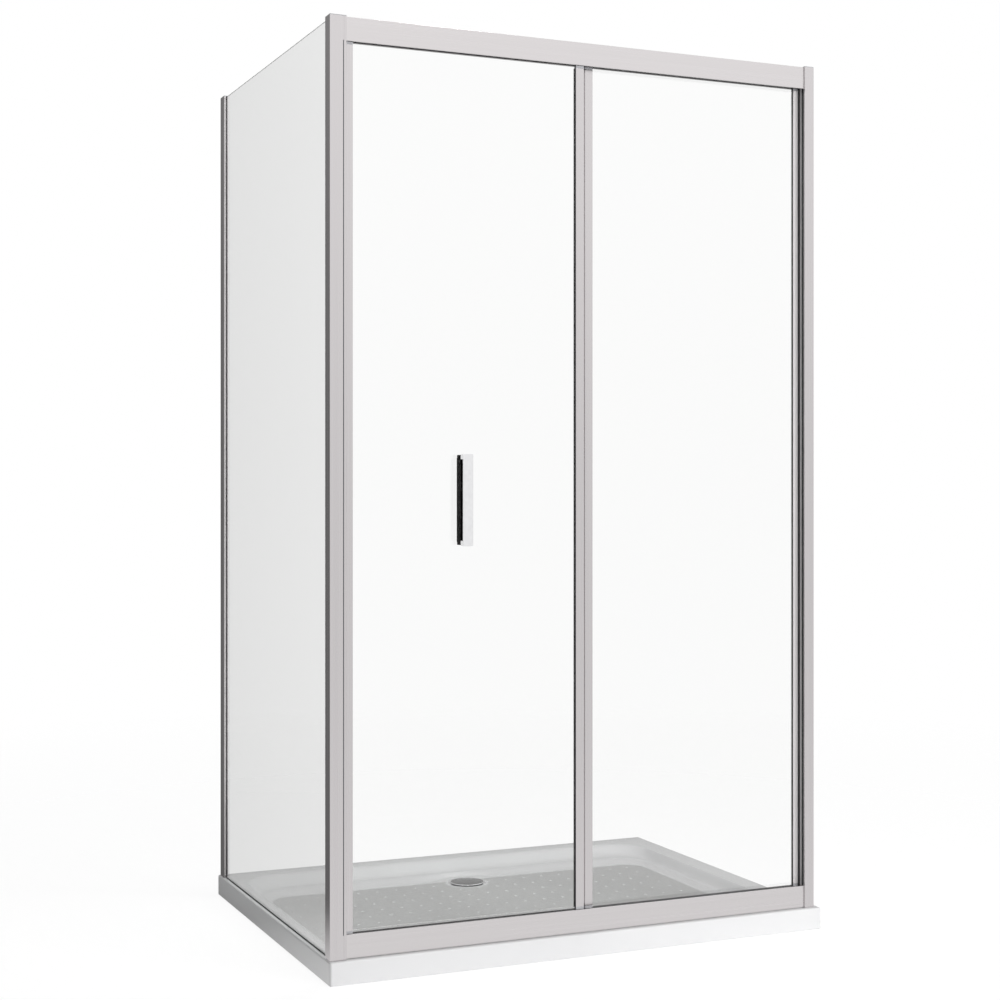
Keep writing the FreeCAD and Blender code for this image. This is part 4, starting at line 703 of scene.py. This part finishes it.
def make_grip_dots():
    """Low round studs in rows over the floor of the basin."""
    build = bmesh.new()
    inset = [sum(parts) + STUD_MARGIN for parts in zip(RIM_INSETS, BANK_RUNS, SLOPE_RUNS)]
    left = -TRAY_HALF_LENGTH + inset[0]
    right = TRAY_HALF_LENGTH - inset[1]
    front = -TRAY_HALF_DEPTH + inset[2]
    back = TRAY_HALF_DEPTH - inset[3]
    first_x, first_y = STUD_FIRST
    rows = int((first_y - front) / STUD_BACK)
    for row in range(rows + 1):
        y = first_y - row * STUD_BACK
        x = first_x - STUD_ACROSS * int((first_x - left) / STUD_ACROSS)
        while x <= right:
            from_drain = math.hypot(x - DRAIN[0], y - DRAIN[1])
            dx = max(left + STUD_CORNER - x, x - right + STUD_CORNER, 0.0)
            dy = max(front + STUD_CORNER - y, y - back + STUD_CORNER, 0.0)
            if from_drain > DISH_RADIUS + 8.0 and math.hypot(dx, dy) <= STUD_CORNER + 1.0:
                levels = ((1.0, -0.3), (1.0, 0.12), (0.82, 0.45), (0.5, 0.85), (0.0, 1.0))
                rings = []
                for size, lift in levels:
                    level = FLOOR_LEVEL + STUD_RISE * lift
                    if size:
                        rings.append(add_ring(build, circle_points(
                            (x, y), STUD_RADIUS * size, level, 12)))
                    else:
                        rings.append([build.verts.new(Vector((x, y, level)) * MM)])
                for first, second in zip(rings, rings[1:-1]):
                    bridge_rings(build, first, second)
                for index in range(12):
                    build.faces.new((rings[-2][index], rings[-2][(index + 1) % 12], rings[-1][0]))
                build.faces.new(list(reversed(rings[0])))
            x += STUD_ACROSS
    bmesh.ops.recalc_face_normals(build, faces=build.faces)
    dots = finished_mesh("tray_grip_dots", build, 60.0)
    dress(dots, tray_gloss)
    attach(dots, "frame")


def make_drain_cover():
    """A slightly domed cover on four feet over the waste."""
    low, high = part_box("drain_cap")
    centre = ((low.x + high.x) / 2 / MM, (low.y + high.y) / 2 / MM, 0.0)
    seat = low.z / MM
    top = high.z / MM
    radius = (high.x - low.x) / 2 / MM
    profile = [(seat + 2.2, 0.0), (seat + 2.2, radius - 0.6), (seat + 2.5, radius)]
    for step in range(6):
        angle = math.radians(90.0 * step / 5)
        profile.append((seat + 3.2 + 1.0 * math.sin(angle), radius - 1.0 + math.cos(angle)))
    edge = seat + 4.2
    for step in range(1, 13):
        share = step / 12
        rise = (top - edge) * (1.0 - (1.0 - share) ** 2)
        profile.append((edge + rise, (radius - 1.0) * (1.0 - share)))
    cover = lathe("drain_cover_disc", profile, centre, count=96)
    # The disc's top takes the dark chrome with its painted reflection; the outer rim keeps the
    # bright chrome.
    rim_start = (radius - COVER_RIM_WIDTH) * MM
    for face in cover.data.polygons:
        reach = math.hypot(face.center.x - centre[0] * MM, face.center.y - centre[1] * MM)
        face.material_index = 1 if reach > rim_start else 0
    dress(cover, dark_reflection_chrome, polished_chrome)
    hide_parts("drain_cap")
    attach(cover, "drain_cover")
    for index in range(4):
        angle = math.radians(90.0 * index)
        spot = (centre[0] + COVER_FOOT_CIRCLE * math.cos(angle),
                centre[1] + COVER_FOOT_CIRCLE * math.sin(angle), 0.0)
        foot = lathe("drain_cover_foot_" + str(index + 1), [
            (seat, 0.0), (seat, 1.7), (seat + 0.3, 2.0), (seat + 2.3, 2.0), (seat + 2.3, 0.0)],
            spot, count=20)
        dress(foot, dark_reflection_chrome)
        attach(foot, "drain_cover")


make_tray()
make_grip_dots()
make_drain_cover()


# ---- hanger wheels --------------------------------------------------------------------------

def make_wheel(side, row):
    """A hub with a grooved tread, round a steel bearing."""
    name = "wheel_" + side + "_" + row
    low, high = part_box(name)
    centre = tuple((start + end) / 2 / MM for start, end in zip(low, high))
    half = (high.y - low.y) / 2 / MM
    radius = (high.z - low.z) / 2 / MM
    bearing = 5.2
    outline = [
        (half - 0.3, bearing), (half, bearing + 0.3), (half, radius - 2.2),
        (half - 0.2, radius - 2.0), (half - 0.6, radius - 2.0), (half - 0.6, radius - 0.4),
        (half - 0.72, radius - 0.12), (half - 1.0, radius), (0.9, radius), (0.5, radius - 0.3)]
    profile = [(-along, reach) for along, reach in outline]
    profile += [(along, reach) for along, reach in reversed(outline)]
    tyre = lathe(name + "_tyre", profile, centre, "y", 96)
    dress(tyre, white_nylon)
    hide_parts(name)
    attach(tyre, name + "_body")
    bore = 2.5
    ring = [
        (half, bore), (half, bore + 0.8), (half - 0.2, bore + 0.9),
        (half - 0.2, bearing - 0.7), (half - 0.05, bearing - 0.6), (half - 0.05, bearing - 0.1),
        (half - 0.3, bearing)]
    profile = [(-along, reach) for along, reach in ring]
    profile += [(along, reach) for along, reach in reversed(ring)]
    race = lathe(name + "_bearing", profile, centre, "y", 64)
    dress(race, machined_steel)
    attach(race, name + "_body")


for side in ("left", "right"):
    for row in ("outer", "inner"):
        make_wheel(side, row)


# ---- camera, floor and light ----------------------------------------------------------------

FLOOR_REACH = 8.0
FLOOR_GLOW = 0.80
FLOOR_WHITE = 1.12
WORLD_LIT = 0.34
BACK_GLOSS = 0.45
DIM_SIDE = 0.36
UP_LOW = 0.94
UP_HIGH = 1.20


def make_camera():
    data = bpy.data.cameras.new("camera")
    data.sensor_width = 36.0
    data.lens = 63.98
    data.shift_x = -0.0059
    data.shift_y = -0.0172
    camera = bpy.data.objects.new("camera", data)
    camera.location = (-1.7772, -4.0310, 1.0603)
    camera.rotation_euler = (math.radians(90.0), 0.0, math.radians(-23.744))
    bpy.context.scene.collection.objects.link(camera)
    bpy.context.scene.camera = camera


def seen_share(tree, link):
    """1 for rays that reach the eye straight or through glass, and 0 for the rest."""
    ray = tree.nodes.new("ShaderNodeLightPath")
    seen = tree.nodes.new("ShaderNodeMath")
    seen.operation = "MAXIMUM"
    link(ray.outputs["Is Camera Ray"], seen.inputs[0])
    link(ray.outputs["Is Transmission Ray"], seen.inputs[1])
    return ray, seen.outputs[0]


def make_floor():
    """A pale floor that shows white and keeps the object's soft shadow; in metal it shows as a glow
    that dims from front to back, a painted reflection of darker surroundings.
    """
    build = bmesh.new()
    around = [math.radians(angle) for angle in range(0, 360, 5)]
    build.faces.new([build.verts.new((
        FLOOR_REACH * math.cos(angle), FLOOR_REACH * math.sin(angle), 0.0)) for angle in around])
    floor = finished_mesh("studio_floor", build)
    finish, tree, surface = new_finish("studio_floor")
    set_plain(surface, base_color=(0.90, 0.90, 0.90, 1.0), roughness=0.9)
    surface.inputs["Specular IOR Level"].default_value = 0.0
    link = tree.links.new
    ray, seen = seen_share(tree, link)
    glow = tree.nodes.new("ShaderNodeEmission")
    glow.inputs["Strength"].default_value = FLOOR_WHITE
    part_seen = tree.nodes.new("ShaderNodeMath")
    part_seen.operation = "MULTIPLY"
    part_seen.inputs[1].default_value = FLOOR_GLOW
    lift = tree.nodes.new("ShaderNodeMixShader")
    mirrored = tree.nodes.new("ShaderNodeEmission")
    mirrored.inputs["Strength"].default_value = 1.0
    in_metal = tree.nodes.new("ShaderNodeMixShader")
    only_metal = tree.nodes.new("ShaderNodeMath")
    only_metal.operation = "SUBTRACT"
    only_metal.use_clamp = True
    place = tree.nodes.new("ShaderNodeTexCoord")
    parts = tree.nodes.new("ShaderNodeSeparateXYZ")
    front_to_back = tree.nodes.new("ShaderNodeMapRange")
    front_to_back.inputs["From Min"].default_value = -0.45
    front_to_back.inputs["From Max"].default_value = 0.2
    front_to_back.inputs["To Min"].default_value = 1.0
    front_to_back.inputs["To Max"].default_value = 0.16
    reach = tree.nodes.new("ShaderNodeVectorMath")
    reach.operation = "LENGTH"
    fade = tree.nodes.new("ShaderNodeMapRange")
    fade.inputs["From Min"].default_value = 1.2
    fade.inputs["From Max"].default_value = 4.0
    clear = tree.nodes.new("ShaderNodeBsdfTransparent")
    mix = tree.nodes.new("ShaderNodeMixShader")
    link(seen, part_seen.inputs[0])
    link(part_seen.outputs[0], lift.inputs[0])
    link(surface.outputs["BSDF"], lift.inputs[1])
    link(glow.outputs[0], lift.inputs[2])
    link(place.outputs["Object"], parts.inputs[0])
    link(parts.outputs["Y"], front_to_back.inputs["Value"])
    link(front_to_back.outputs["Result"], mirrored.inputs["Color"])
    link(ray.outputs["Is Glossy Ray"], only_metal.inputs[0])
    link(seen, only_metal.inputs[1])
    link(only_metal.outputs[0], in_metal.inputs[0])
    link(lift.outputs[0], in_metal.inputs[1])
    link(mirrored.outputs[0], in_metal.inputs[2])
    link(place.outputs["Object"], reach.inputs[0])
    link(reach.outputs["Value"], fade.inputs["Value"])
    link(fade.outputs["Result"], mix.inputs[0])
    link(in_metal.outputs[0], mix.inputs[1])
    link(clear.outputs["BSDF"], mix.inputs[2])
    link(mix.outputs[0], output_of(tree).inputs["Surface"])
    dress(floor, finish)


def toward_share(tree, link, way, start, end, low, high):
    """Runs from low to high as a direction turns towards the given way."""
    place = tree.nodes.new("ShaderNodeTexCoord")
    along = tree.nodes.new("ShaderNodeVectorMath")
    along.operation = "DOT_PRODUCT"
    along.inputs[1].default_value = way
    share = tree.nodes.new("ShaderNodeMapRange")
    share.interpolation_type = "SMOOTHSTEP"
    for title, value in (("From Min", start), ("From Max", end), ("To Min", low),
                         ("To Max", high)):
        share.inputs[title].default_value = value
    link(place.outputs["Generated"], along.inputs[0])
    link(along.outputs["Value"], share.inputs["Value"])
    return share.outputs["Result"]


def product(tree, link, first, second):
    both = tree.nodes.new("ShaderNodeMath")
    both.operation = "MULTIPLY"
    link(first, both.inputs[0])
    link(second, both.inputs[1])
    return both.outputs[0]


def make_world():
    """White where it is seen, a soft even light, and a bright front and a dim side in metal."""
    world = bpy.data.worlds.new("studio")
    bpy.context.scene.world = world
    world.use_nodes = True
    tree = world.node_tree
    tree.nodes.clear()
    link = tree.links.new
    ray, seen = seen_share(tree, link)
    lit = tree.nodes.new("ShaderNodeBackground")
    lit.inputs["Color"].default_value = (1.0, 1.0, 1.0, 1.0)
    lit.inputs["Strength"].default_value = WORLD_LIT
    shown = tree.nodes.new("ShaderNodeBackground")
    shown.inputs["Color"].default_value = (1.0, 1.0, 1.0, 1.0)
    shown.inputs["Strength"].default_value = 1.0
    glossy = tree.nodes.new("ShaderNodeBackground")
    glossy.inputs["Strength"].default_value = 1.0
    by_kind = tree.nodes.new("ShaderNodeMixShader")
    by_gloss = tree.nodes.new("ShaderNodeMixShader")
    output = tree.nodes.new("ShaderNodeOutputWorld")
    front_to_back = toward_share(tree, link, (0.0, 1.0, 0.0), -0.3, 0.6, 1.0, BACK_GLOSS)
    dim_side = toward_share(tree, link, (-0.17, 0.985, 0.0), 0.90, 0.975, 1.0, DIM_SIDE)
    upward = toward_share(tree, link, (0.0, 0.0, 1.0), -0.02, 0.25, UP_LOW, UP_HIGH)
    around = product(tree, link, front_to_back, dim_side)
    link(product(tree, link, around, upward), glossy.inputs["Color"])
    link(ray.outputs["Is Glossy Ray"], by_gloss.inputs[0])
    link(lit.outputs[0], by_gloss.inputs[1])
    link(glossy.outputs[0], by_gloss.inputs[2])
    link(seen, by_kind.inputs[0])
    link(by_gloss.outputs[0], by_kind.inputs[1])
    link(shown.outputs[0], by_kind.inputs[2])
    link(by_kind.outputs[0], output.inputs["Surface"])


def add_lamp(name, place, aim, size, power, glints=False):
    data = bpy.data.lights.new(name, "AREA")
    data.shape = "RECTANGLE"
    data.size, data.size_y = size
    data.energy = power
    lamp = bpy.data.objects.new(name, data)
    lamp.location = place
    way = Vector(aim) - Vector(place)
    lamp.rotation_euler = way.to_track_quat("-Z", "Y").to_euler()
    lamp.visible_glossy = glints
    lamp.visible_transmission = False
    bpy.context.scene.collection.objects.link(lamp)


make_camera()
make_floor()
make_world()
add_lamp("key_lamp", (2.2, -4.9, 1.9), (0.0, 0.0, 0.9), (2.6, 2.6), 175.0)
add_lamp("top_lamp", (0.1, -0.05, 3.2), (0.1, 0.0, 0.0), (0.22, 0.22), 8.0, True)

bpy.context.scene.view_settings.view_transform = "Standard"
